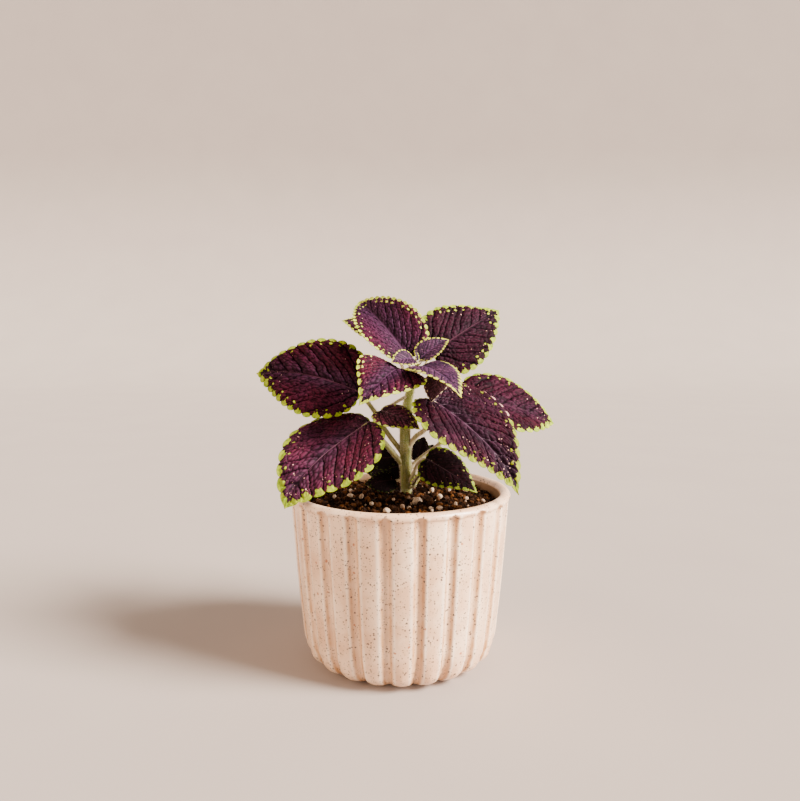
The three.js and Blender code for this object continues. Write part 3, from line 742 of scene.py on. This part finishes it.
OWN_TRAITS = {
    "leaf_1_left": {"swell": 1.8, "glints": 90, "olive_stalk": True},
    "leaf_1_right": {"swell": 1.5},
    "leaf_2_left": {"swell": 2.6, "rib_fade": 0.5, "olive_stalk": True},
    "leaf_2_right": {"swell": 1.9, "glints": 90, "left_curl": 0.9, "knuckled_left": True},
    "leaf_3_left": {"swell": 1.7, "glints": 60},
    "leaf_3_right": {"glints": 30},
    "leaf_4_left": {"rib_size": 2, "rib_fade": 0.3},
    "basal_leaf_right_front": {"olive_stalk": True},
}


def unit(vectors):
    return vectors / np.linalg.norm(vectors, axis=-1, keepdims=True)


class Blade:
    """The curved face of a blade. Places on it are x across and y along, in blade lengths."""

    def __init__(self, leaf):
        self.leaf = leaf
        base, tip = np.array(leaf["base"], float), np.array(leaf["tip"], float)
        self.length = np.linalg.norm(tip - base)
        self.half_width = leaf["width"] / 2 / self.length
        along = (tip - base) / self.length
        upward = unit(np.array([0, 0, 1.0]) - along * along[2])
        roll = math.radians(leaf["roll"])
        self.face = upward * math.cos(roll) + np.cross(along, upward) * math.sin(roll)
        aside = np.cross(along, self.face) * leaf["sway"] * self.length
        rises = [self.face * rise * self.length for rise in leaf["arch"]]
        self.guides = (base, base + (tip - base) / 3 + rises[0] + aside,
                       base + (tip - base) * 2 / 3 + rises[1] + aside, tip)
        self.places = np.linspace(0, 1, 500)
        self.line = self.edge(self.places, toothed=False)
        self.around = np.linalg.norm(np.diff(self.line, axis=0), axis=1).sum() * self.length

    def surface(self, x, y):
        """Places in space, and the way that the blade faces there."""
        place = np.clip(y, 0, 1)
        t, (a, b, c, d) = place[:, None], self.guides
        point = (1 - t) ** 3 * a + 3 * (1 - t) ** 2 * t * b + 3 * (1 - t) * t * t * c + t ** 3 * d
        along = unit((1 - t) ** 2 * (b - a) + 2 * (1 - t) * t * (c - b) + t * t * (d - c))
        point = point + along * ((y - place) * self.length)[:, None]
        face = unit(self.face - along * (along @ self.face)[:, None])
        twist = np.radians(self.leaf["twist"] * (place - 0.5))[:, None]
        face = face * np.cos(twist) + np.cross(along, face) * np.sin(twist)
        fold = math.radians(self.leaf["fold"])
        lift = np.abs(x) * math.sin(fold) - self.leaf["cup"] * x * x / self.half_width
        point = point + np.cross(along, face) * (x * math.cos(fold) * self.length)[:, None]
        return point + face * (lift * self.length)[:, None], face

    def edge(self, places, toothed=True):
        """The edge of the right half from the stalk to the tip, at shares of its length."""
        fullness, teeth = self.leaf["fullness"], self.leaf["teeth"]
        u = np.linspace(0, 1, 401) ** 1.5
        whole = WAIST + fullness
        widest = (WAIST / whole) ** WAIST * (fullness / whole) ** fullness
        x = self.half_width * u ** WAIST * (1 - u) ** fullness / widest
        y = u - self.leaf["lobe"] * np.sqrt(u) * (1 - u) ** 6
        run = np.concatenate([[0], np.cumsum(np.hypot(np.diff(x), np.diff(y)))])
        run /= run[-1]
        line = np.stack([np.interp(places, run, x), np.interp(places, run, y)], axis=1)
        if not toothed:
            return line
        slope = unit(np.stack([np.interp(places, run, np.gradient(x, run)),
                               np.interp(places, run, np.gradient(y, run))], axis=1))
        tooth = np.abs(np.sin(math.pi * teeth * places)) ** 0.6
        tooth *= np.minimum(1, 0.45 + 1.6 * places) * np.minimum(1, (1 - places) / 0.1)
        outward = np.stack([slope[:, 1], -slope[:, 0]], axis=1)
        return line + outward * TOOTH_DEPTH * tooth[:, None]

    def grid(self):
        """Points over the blade as (x, y), its faces, and how far across each lies, -1 to 1."""
        teeth = self.leaf["teeth"]
        rows = teeth * max(8, 2 * round(self.around / teeth / POINT_SPACING / 2))
        columns = max(6, round(self.leaf["width"] / 2 / POINT_SPACING))
        places = np.arange(1, rows) / rows
        edge, middle = self.edge(places), places ** 1.8
        share = np.linspace(-1, 1, 2 * columns + 1)
        share = np.sign(share) * (1 - (1 - np.abs(share)) ** 1.15)
        x = edge[:, :1] * share
        y = middle[:, None] + (edge[:, 1:] - middle[:, None]) * np.abs(share)
        index = 1 + np.arange(x.size).reshape(x.shape)
        quads = np.stack([index[:-1, :-1], index[:-1, 1:], index[1:, 1:], index[1:, :-1]], axis=-1)
        first, last = index[0].tolist(), index[-1].tolist()
        fans = [(0, b, a) for a, b in zip(first, first[1:])]
        fans += [(last[-1] + 1, a, b) for a, b in zip(last, last[1:])]
        x, y, shares = (np.concatenate([[0], part.ravel(), [end]]) for part, end in
                        ((x, 0), (y, 1), (np.tile(share, rows - 1), 0)))
        return x, y, shares, quads.reshape(-1, 4).tolist() + fans


SIDE_VEINS = (0.01, 0.09, 0.2, 0.34, 0.5, 0.65, 0.78, 0.89)  # where they leave the midrib
FEW_SIDE_VEINS = (0.02, 0.12, 0.26, 0.42, 0.58, 0.73, 0.87)
VEIN_RUN = {"middle": (0.46, 0.3), "broad": (0.44, 0.46)}  # how far a side vein runs forward
USUAL_RUN = (0.36, 0.2)
VEIN_SHIFT = 0.014  # how unevenly side veins leave the midrib
VEIN_WANDER = ((0.013, 9, 11), (0.008, 4, 12))  # reach in blade lengths, wave length, seed
BASAL_SPREAD = 0.26  # between the veins that fan out from the stalk
QUILT = 2.2  # between the furrows of the net


def quilt(across, down, seed):
    """How far into a cell of an irregular net each point lies, and how near its border."""
    jitter = np.random.default_rng(seed).uniform(-0.46, 0.46, (64, 64, 2))
    cell_a, cell_b = np.floor(across).astype(int), np.floor(down).astype(int)
    distances = []
    for a in (cell_a - 1, cell_a, cell_a + 1):
        for b in (cell_b - 1, cell_b, cell_b + 1):
            shift = jitter[a % 64, b % 64]
            distances.append(np.hypot(a + 0.5 + shift[:, 0] - across, b + 0.5 + shift[:, 1] - down))
    distances = np.sort(distances, axis=0)
    return distances[0], (distances[1] - distances[0]) / 2


def venation(blade, x, y, seed):
    """Millimetres to the midrib, the nearest side vein and the net, and the swell between."""
    length, right, age = blade.length, x > 0, blade.leaf["age"]
    flat = x * length, y * length
    t = np.abs(x) / blade.half_width
    draw = np.random.default_rng(seed)
    run = VEIN_RUN.get(age, USUAL_RUN)
    side_veins = FEW_SIDE_VEINS if age == "middle" else SIDE_VEINS
    start = y - run[0] * t - run[1] * t * t
    for reach, wave, own in VEIN_WANDER:
        start = start + reach * ripple(*flat, wave, seed + own)
    count, width = np.empty((2, len(x)))
    for part in (~right, right):
        shift = draw.uniform(-VEIN_SHIFT, VEIN_SHIFT, len(side_veins) - 1)
        marks = np.array(side_veins) + np.append(0, shift)
        count[part] = np.interp(start[part], marks, range(len(marks)))
        ahead = np.clip(count[part].astype(int), 0, len(marks) - 2)
        width[part] = np.diff(marks)[ahead] * length * 0.8
    fan = np.maximum(0, side_veins[0] - start)
    reach = np.maximum(t, 0.04)
    count = np.where(fan > 0, -fan / reach / BASAL_SPREAD, count)
    width = np.where(fan > 0, BASAL_SPREAD * reach * length * 0.75, width)
    share = count - np.floor(count)
    vein = np.where(start > side_veins[-1] + 0.02, 3, np.minimum(share, 1 - share) * width)
    swell = np.sin(math.pi * share) ** 0.8 * np.minimum(1, width / 6)
    cell = QUILT * max(0.55, (length / 60) ** 0.5)
    cells_across = np.maximum(1, np.round(width.mean() / cell))
    forward = (run[0] + run[1] * t) / blade.half_width
    along = np.abs(x) * length * np.sqrt(1 + forward * forward) / cell + 31 * right
    across = count * cells_across + 30 + 0.3 * ripple(*flat, 5, seed + 13)
    deep, border = quilt(across, along + 0.3 * ripple(*flat, 6, seed + 14), seed)
    return {"rib": np.abs(x) * length, "vein": vein, "net": border * cell, "swell": swell,
            "quilt": 1 - deep}


def edge_distance(blade, x, y):
    """The distance inwards from the smooth edge in millimetres, and the place along it."""
    line = blade.line
    near = np.empty(len(x), int)
    for part in np.array_split(np.arange(len(x)), 1 + len(x) // 4000):
        gaps = np.hypot(np.abs(x[part])[:, None] - line[:, 0], y[part][:, None] - line[:, 1])
        near[part] = gaps.argmin(axis=1)
    slope = unit(np.gradient(line, axis=0))[near]
    offset = np.stack([np.abs(x), y], axis=1) - line[near]
    outward = offset[:, 0] * slope[:, 1] - offset[:, 1] * slope[:, 0]
    inside = -np.sign(outward) * np.linalg.norm(offset, axis=1) * blade.length
    return inside, blade.places[near]


LIME_DEPTH = {  # past the smooth edge near the stalk, halfway, at the tip
    "middle": (0.4, 1.3, 2.8), "young": (1.4, 1.8, 3.0), "hidden": (-0.3, 0.2, 0.6),
    "shaded": (1.1, 1.7, 2.6), "dim": (0.8, 1.5, 2.6), "dusky": (-0.2, 0, 0.3), "green": (1, 3, 3),
}
USUAL_LIME = (0.1, 2.0, 3.6)
TOOTH_SIZES = (0.7, 1.25)
TOOTH_LEAN = 0.1  # in teeth
OUTSIDE = -2.0  # millimetres, well outside


def lime_edge(blade, x, y, veins, seed):
    """Millimetres into the lime of the nearest tooth, the spots inside the teeth, and the rim, a
    painted highlight on knuckled teeth.
    """
    leaf, age, teeth = blade.leaf, blade.leaf["age"], blade.leaf["teeth"]
    inside, where = edge_distance(blade, x, y)
    tooth = np.minimum((where * teeth).astype(int), teeth - 1)
    pitch = blade.around / teeth
    draw = np.random.default_rng(seed + 900)
    side = (x > 0).astype(int)
    size = draw.uniform(*TOOTH_SIZES, (2, teeth))[side, tooth]
    lean = draw.uniform(-TOOTH_LEAN, TOOTH_LEAN, (2, teeth))[side, tooth]
    off_middle = (where * teeth - tooth - 0.5 - lean) * pitch
    small = min(1, blade.length / 55) ** 0.6
    stalk_end, halfway, tip_end = LIME_DEPTH.get(age, USUAL_LIME)
    depth = np.interp(where, (0, 0.12, 0.3, 0.78, 1),
                      (stalk_end, stalk_end, halfway, halfway, tip_end)) * small * size
    half = np.interp(where, (0, 0.12, 0.25, 0.8, 0.93, 1), (0.6, 0.5, 0.4, 0.4, 0.6, 0.9)) * pitch
    if age == "young":
        half = half * 1.05
    crest = 0.9 * small
    low = np.maximum(inside + crest, 0) / (depth + crest)
    lime = (1 - np.hypot(off_middle / half, low)) * np.minimum(half, depth + crest)
    fingers = np.cos(2 * math.pi * (3 * where * teeth + lean * 4)) + 0.7 * ripple(
        x * blade.length, y * blade.length, 1.6, seed + 8)
    lime -= 0.36 * small * (1 + fingers) * smooth_step(inside, -0.6, 0.8)
    lime -= 0.9 * bump(veins["vein"], 0, 0.45) * smooth_step(inside, 0.3, 1.4)
    lime -= 3 * (1 - smooth_step(veins["rib"], 0.3, 1.1)) * (1 - smooth_step(y, 0.9, 0.97))
    rim = np.full(len(x), OUTSIDE)
    # Knuckled teeth get a pale crescent of painted highlight on their curled rim, in place of the
    # lime.
    if leaf["knuckled_left"]:
        rim = 0.55 - np.abs(np.hypot(off_middle, inside - 0.9) - 1.9)
        rim = np.minimum(rim, 1.5 - np.abs(off_middle))
        knuckled = (x < 0) & (where < 0.6)
        rim = np.where(knuckled & (inside < 1.3), rim, OUTSIDE)
        lime = np.where(knuckled, OUTSIDE, lime)
    present = draw.uniform(size=(2, teeth))[side, tooth] < (0 if age == "young" else 0.6)
    inner = depth + 1.35 * small
    spots = 0.55 * small - np.hypot((off_middle + 0.4 * lean * pitch) * 0.7, inside - inner)
    spots = np.where(present & (where > 0.1), spots, OUTSIDE)
    return lime, spots, rim, inside


def glints(inside, points, size, count, seed):
    """Millimetres into the nearest of the pale glints, painted highlights scattered near the edge.
    """
    draw = np.random.default_rng(seed + 300)
    zone = np.nonzero((inside > 2 * size) & (inside < 10 * size))[0]
    chosen = draw.choice(zone, min(len(zone), int(count * size * size) + 3), replace=False)
    radius = draw.uniform(0.1, 0.36, len(chosen)) * size
    best = np.full(len(points), OUTSIDE)
    for centre, reach in zip(points[chosen], radius):
        best = np.maximum(best, reach - np.linalg.norm(points - centre, axis=1))
    return best


FURROW = {"rib": (0.3, 0.8), "vein": (0.62, 0.6), "net": (0.42, 0.42)}  # depth and half width
RIB_RIDGE = 0.3  # the midrib stands up this much in its hollow
RIB_HOLLOW = 0.3
SWELL = 0.5
QUILT_SWELL = 0.65
RELIEF = {"young": 0.55, "broad": 0.9, "deep": 0.8, "dusky": 0.2, "hidden": 0.4}


def make_blade(name, blade, seed, skins):
    """A quilted sheet with sunken veins, a low ridge along its midrib and a curled edge."""
    leaf = blade.leaf
    x, y, shares, faces = blade.grid()
    veins = venation(blade, x, y, seed)
    lime, spots, rim, inside = lime_edge(blade, x, y, veins, seed)
    size = min(1, blade.length / 60) ** 0.8
    fine = size ** 0.5
    height = SWELL * leaf["swell"] * veins["swell"] + QUILT_SWELL * veins["quilt"]
    for kind, (depth, reach) in FURROW.items():
        height -= depth * np.exp(-(veins[kind] / reach / fine) ** 2)
    height *= RELIEF.get(leaf["age"], 1) * size * (0.15 + 0.85 * smooth_step(inside, -0.3, 2.5))
    from_rib = veins["rib"] / fine / leaf["rib_size"]
    ridge = RIB_RIDGE * bump(from_rib, 0, 0.5) - RIB_HOLLOW
    height += (1 - smooth_step(from_rib, 0.3, 2.2)) * (ridge * size - height)
    curl = np.where(x < 0, leaf["left_curl"], EDGE_CURL)
    height -= curl * size * (1 - smooth_step(inside, -1.8, 1.8))
    height += 0.5 * size * ripple(x * blade.length, y * blade.length, 17, seed + 2) * np.abs(shares)
    points, face = blade.surface(x, y)
    points = points + face * height[:, None]
    piece = mesh_piece(name, points, faces)
    glint_dots = glints(inside, points, size, leaf["glints"], seed)
    marks = {"lime": np.clip(lime, -2, 2), "spot": np.clip(spots, -2, 2),
             "glint": np.clip(np.maximum(glint_dots, rim), -2, 2),
             "vein": veins["vein"] / fine + 2 * smooth_step(y, 0.88, 0.95),
             "net": veins["net"] / fine, "rib": from_rib + leaf["rib_fade"] * y * y,
             "quilt": veins["quilt"]}
    for kind, values in marks.items():
        mark(piece, kind, values)
    for skin in skins:
        piece.data.materials.append(skin)
    thick = piece.vertex_groups.new(name="thick")
    full = smooth_step(inside, -0.6, 1.6)
    for weight in range(5):
        low, high = weight / 4 - 0.125, weight / 4 + 0.125
        members = np.nonzero((full >= low) & (full < high))[0]
        thick.add(members.tolist(), weight / 4, "REPLACE")
    deselect_all()
    bpy.context.view_layer.objects.active = piece
    piece.select_set(True)
    solid = piece.modifiers.new("thickness", "SOLIDIFY")
    solid.thickness = BLADE_THICKNESS * MM * (0.5 + 0.5 * size)
    solid.offset = 0
    solid.vertex_group = "thick"
    solid.thickness_vertex_group = EDGE_THICKNESS
    solid.material_offset = 1
    bpy.ops.object.modifier_apply(modifier=solid.name)
    bpy.ops.object.shade_smooth()
    return piece


# The violet tint is a painted sheen of reflected sky; the crimson is the leaf's own colour.
VIOLET_SHEEN = (0.72, 1.9, 1.55, 1)  # tints of the quilts near the midrib and away from it
CRIMSON = (1.15, 0.65, 0.5, 1)


def leaf_material(name, colours, shine, sheen_and_tint):
    """Plum skin with painted shade in its furrows, redder on the quilts, with lime teeth and pale
    painted glints.

    The last argument is how strongly a painted violet sheen lies along the midrib, and how strongly
    it turns crimson away from it.
    """
    deep, plum, glow, lime, pale, rib_line, side_line = (paint(code) for code in colours.split())
    skin = Finish(name, plum, {"Specular IOR Level": shine})

    def band(attribute, low, high, to_low=0.0, to_high=1.0, waver=None):
        value = skin.marked(attribute)
        if waver:
            value = skin.arithmetic("ADD", value, waver)
        return skin.ramp(value, low, high, to_low, to_high)

    fine = skin.noise(1000, 3)
    rough_edge = skin.ramp(skin.noise(800), 0.2, 0.8, -0.25, 0.25)
    skin.coat(glow, skin.ramp(skin.noise(75, 3), 0.35, 0.66))
    violet, crimson = (np.multiply(glow, tint) for tint in (VIOLET_SHEEN, CRIMSON))
    # A painted violet sheen near the midrib, for the sky reflected there; the crimson away from it
    # is the leaf's own colour.
    skin.coat(violet, band("rib", 1, 9, sheen_and_tint, 0))
    reddened = skin.ramp(skin.noise(60), 0.4, 0.6, 0, sheen_and_tint)
    skin.coat(crimson, band("rib", 4, 13), reddened)
    # Painted shade: the quilts' borders, the net and the vein furrows darken towards the furrow
    # colour, for the shade that falls in them.
    skin.coat(deep, band("quilt", 0.3, 0.85, 0.45, 0))
    skin.coat(deep, band("net", 0.05, 0.5, 0.68, 0, rough_edge))
    skin.coat(deep, band("vein", 0.3, 0.9, 0.9, 0, rough_edge))
    skin.coat(side_line, band("vein", 0.18, 0.45, 0.9, 0))
    skin.coat(rib_line, band("rib", 0.25, 0.55, 0.95, 0))
    # Painted glints: pale flecks near the edge, and the highlight on the knuckled teeth's rims.
    skin.coat("cc9a8c", band("glint", -0.1, 0.1, 0, 0.85))
    skin.coat(pale, band("spot", -0.15, 0.1, 0, 0.85, rough_edge))
    streaks = skin.ramp(skin.noise(420), 0.3, 0.7)
    skin.coat(skin.mixed(streaks, lime, pale), band("lime", -0.12, 0.1, 0, 1, rough_edge))
    skin.link("Roughness", skin.ramp(fine, 0.2, 0.8, 0.52, 0.7))
    skin.roughen(fine, 0.4, 0.0005)
    return skin.finished()


def underside_material(name, lime):
    """The brownish lower skin of a leaf, with its veins olive and its edge lime."""
    skin = Finish(name, "40222c", {"Roughness": 0.6, "Specular IOR Level": 0.25})
    skin.coat("5c4632", skin.ramp(skin.noise(140, 3), 0.3, 0.7))
    skin.coat("8a7a4c", skin.ramp(skin.marked("vein"), 0.1, 0.7, 0.7, 0))
    skin.coat(lime, skin.ramp(skin.marked("lime"), -0.2, 0.2))
    skin.roughen(skin.noise(800), 0.3, 0.0005)
    return skin.finished()


# Several paints are darker copies that stand in for shade: the third and fourth are the old paint
# darkened, and dim and hidden are darker still, painted shade on the leaves that wear them.
LEAF_PAINTS = {  # painted shade of the furrows, plum, lit quilt, lime, its paler streaks, midrib, side vein
    "old": "0a0104 391226 521d33 6f8610 9ca826 664352 0a0104",
    "broad": "0c0308 250d18 3a1828 61720b 898f1b 523646 54404c",
    "aged": "060002 2a0a18 3f1426 6f8610 9ca826 3c1e2a 060002",
    "deep": "060002 220814 341120 6f8610 9ca826 3c1e2a 060002",
    "middle": "0b0107 360f25 4e1a33 8c9a22 c0c648 46283e 0b0107",
    "young": "120614 3a1e38 58324c 8f9426 b8b244 4a2c4c 160818",
    "shaded": "0e0406 481d2c 6c3044 869a28 b4b84c 5e444e 0c0305",
    "dim": "090203 1c080e 2a0e17 5f761a 909c34 3c2a30 090203",
    "hidden": "070202 110508 1a080c 2c360f 424c18 2c1a1e 070202",
    "dusky": "2a1416 3e1f27 58323b 9a8a60 c6aa8e 664249 30171c",
    "green": "1a1408 3a3a12 555a1c 6c7c1c 9aa032 6a6a30 1a1408",
}
SHINE = {"aged": 0.04, "deep": 0.04, "old": 0.08, "middle": 0.07, "broad": 0.05, "hidden": 0.06,
         "dim": 0.08}
SHEEN_AND_TINT = {"middle": 0.6, "old": 0.4, "broad": 0.3, "aged": 0.45, "deep": 0.3, "shaded": 0.3}
SKINS = {age: (leaf_material(f"{age}_leaf", colours, SHINE.get(age, 0.12), SHEEN_AND_TINT.get(age, 0.0)),
               underside_material(f"{age}_underside", colours.split()[4]))
         for age, colours in LEAF_PAINTS.items()}

RIB_REACH = 0.85  # how far the rib runs on under the blade, and how thick it ends
RIB_END = 0.2
STALK_STEPS = 44
PINK_STALK = shoot_material("pink_stalk_skin", "c8b48c", "8f8c50", "ac8c76")
OLIVE_STALK = shoot_material("olive_stalk_skin", "a29a52", "6a702a", "866e48")


def make_stalk(name, blade):
    """The stalk swells from the stem and runs on as the rib under the blade."""
    leaf = blade.leaf
    start, end = leaf["stalk_radius"]
    places = np.linspace(0, RIB_REACH, 6)
    ribs = end + (RIB_END - end) * (places / RIB_REACH) ** 0.5
    radii = [*np.linspace(start, end, len(leaf["stalk"]), endpoint=False), *ribs]
    points, faces = blade.surface(np.zeros(len(places)), places)
    corners = np.array([*leaf["stalk"], *(points - faces * (ribs + RIB_HOLLOW)[:, None])])
    chord = run_along(corners)
    girth = np.interp(np.linspace(0, chord[-1], STALK_STEPS), chord, radii)
    deselect_all()
    bpy.ops.curve.primitive_nurbs_path_add()
    path = bpy.context.object
    path.name = name
    curve = path.data
    curve.splines.clear()
    spline = curve.splines.new("POLY")
    spline.points.add(STALK_STEPS - 1)
    for dot, spot, radius in zip(spline.points, smooth_path(corners, STALK_STEPS), girth):
        dot.co = (*spot * MM, 1)
        dot.radius = radius
    curve.bevel_depth = MM
    curve.bevel_resolution = 3
    curve.use_fill_caps = True
    bpy.ops.object.convert(target="MESH")
    stalk = bpy.context.object
    mark(stalk, "corner", np.zeros(len(stalk.data.vertices)))
    bpy.ops.object.shade_smooth()
    stalk.data.materials.append(OLIVE_STALK if leaf["olive_stalk"] else PINK_STALK)
    return stalk


stalks = []
for number, (name, row) in enumerate(LEAVES.items()):
    blade = Blade({**USUAL_TRAITS, **dict(zip(LEAF_COLUMNS, row)), **OWN_TRAITS.get(name, {})})
    piece = make_blade(f"{name}_blade", blade, 100 + number, SKINS[blade.leaf["age"]])
    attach(piece, "root")
    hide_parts(name)
    stalk = make_stalk(f"{name}_stalk", blade)
    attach(stalk, "root")
    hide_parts(name)
    stalks.append(stalk)

# ---------------- down
# The stem and the stalks are covered with soft pale hairs, too fine to count, which show
# as a bright haze along their sides. Each is a thin three-sided needle.

HAIR_LENGTH = (0.5, 1.3)
HAIR_RADIUS = 0.045
HAIR_HEIGHTS = (88, 157)  # from the mix to under the bud
STEM_HAIRS = 3600
STALK_HAIRS_PER_AREA = 1.6  # per square millimetre


def grow_hairs(name, seed):
    draw = np.random.default_rng(seed)
    points, faces, total = [], [], 0
    for body in (stem, *stalks):
        polygons = body.data.polygons
        centres = np.array([polygon.center / MM for polygon in polygons])
        normals = np.array([polygon.normal for polygon in polygons])
        areas = np.array([polygon.area for polygon in polygons])
        areas[(centres[:, 2] < HAIR_HEIGHTS[0]) | (centres[:, 2] > HAIR_HEIGHTS[1])] = 0
        if not areas.any():
            continue
        count = STEM_HAIRS if body is stem else int(areas.sum() / MM / MM * STALK_HAIRS_PER_AREA)
        chosen = draw.choice(len(centres), count, p=areas / areas.sum())
        spread = np.sqrt(areas[chosen]) / MM * 0.5
        aside = np.cross(normals[chosen], draw.normal(size=(count, 3)))
        roots = centres[chosen] + aside * spread[:, None] * 0.6
        lean = unit(normals[chosen] + 0.35 * draw.normal(size=(count, 3)))
        reach = draw.uniform(*HAIR_LENGTH, count)[:, None]
        side = unit(np.cross(lean, draw.normal(size=(count, 3))))
        other = np.cross(lean, side)
        for turn in (0, 2.094, 4.189):
            points.append(roots + HAIR_RADIUS * (side * math.cos(turn) + other * math.sin(turn)))
        points.append(roots + lean * reach)
        first = total + np.arange(count)
        for corners in ((0, 1, 3), (1, 2, 3), (2, 0, 3), (2, 1, 0)):
            faces.append(np.stack([first + corner * count for corner in corners], axis=1))
        total += 4 * count
    return mesh_piece(name, np.concatenate(points), np.concatenate(faces).tolist())


down = grow_hairs("stem_down", 77)
hair = Finish("pale_hair", "d8c8b4", {"Roughness": 0.5})
hair.coat("b4a48c", hair.noise(300))
down.data.materials.append(hair.finished())
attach(down, "root")
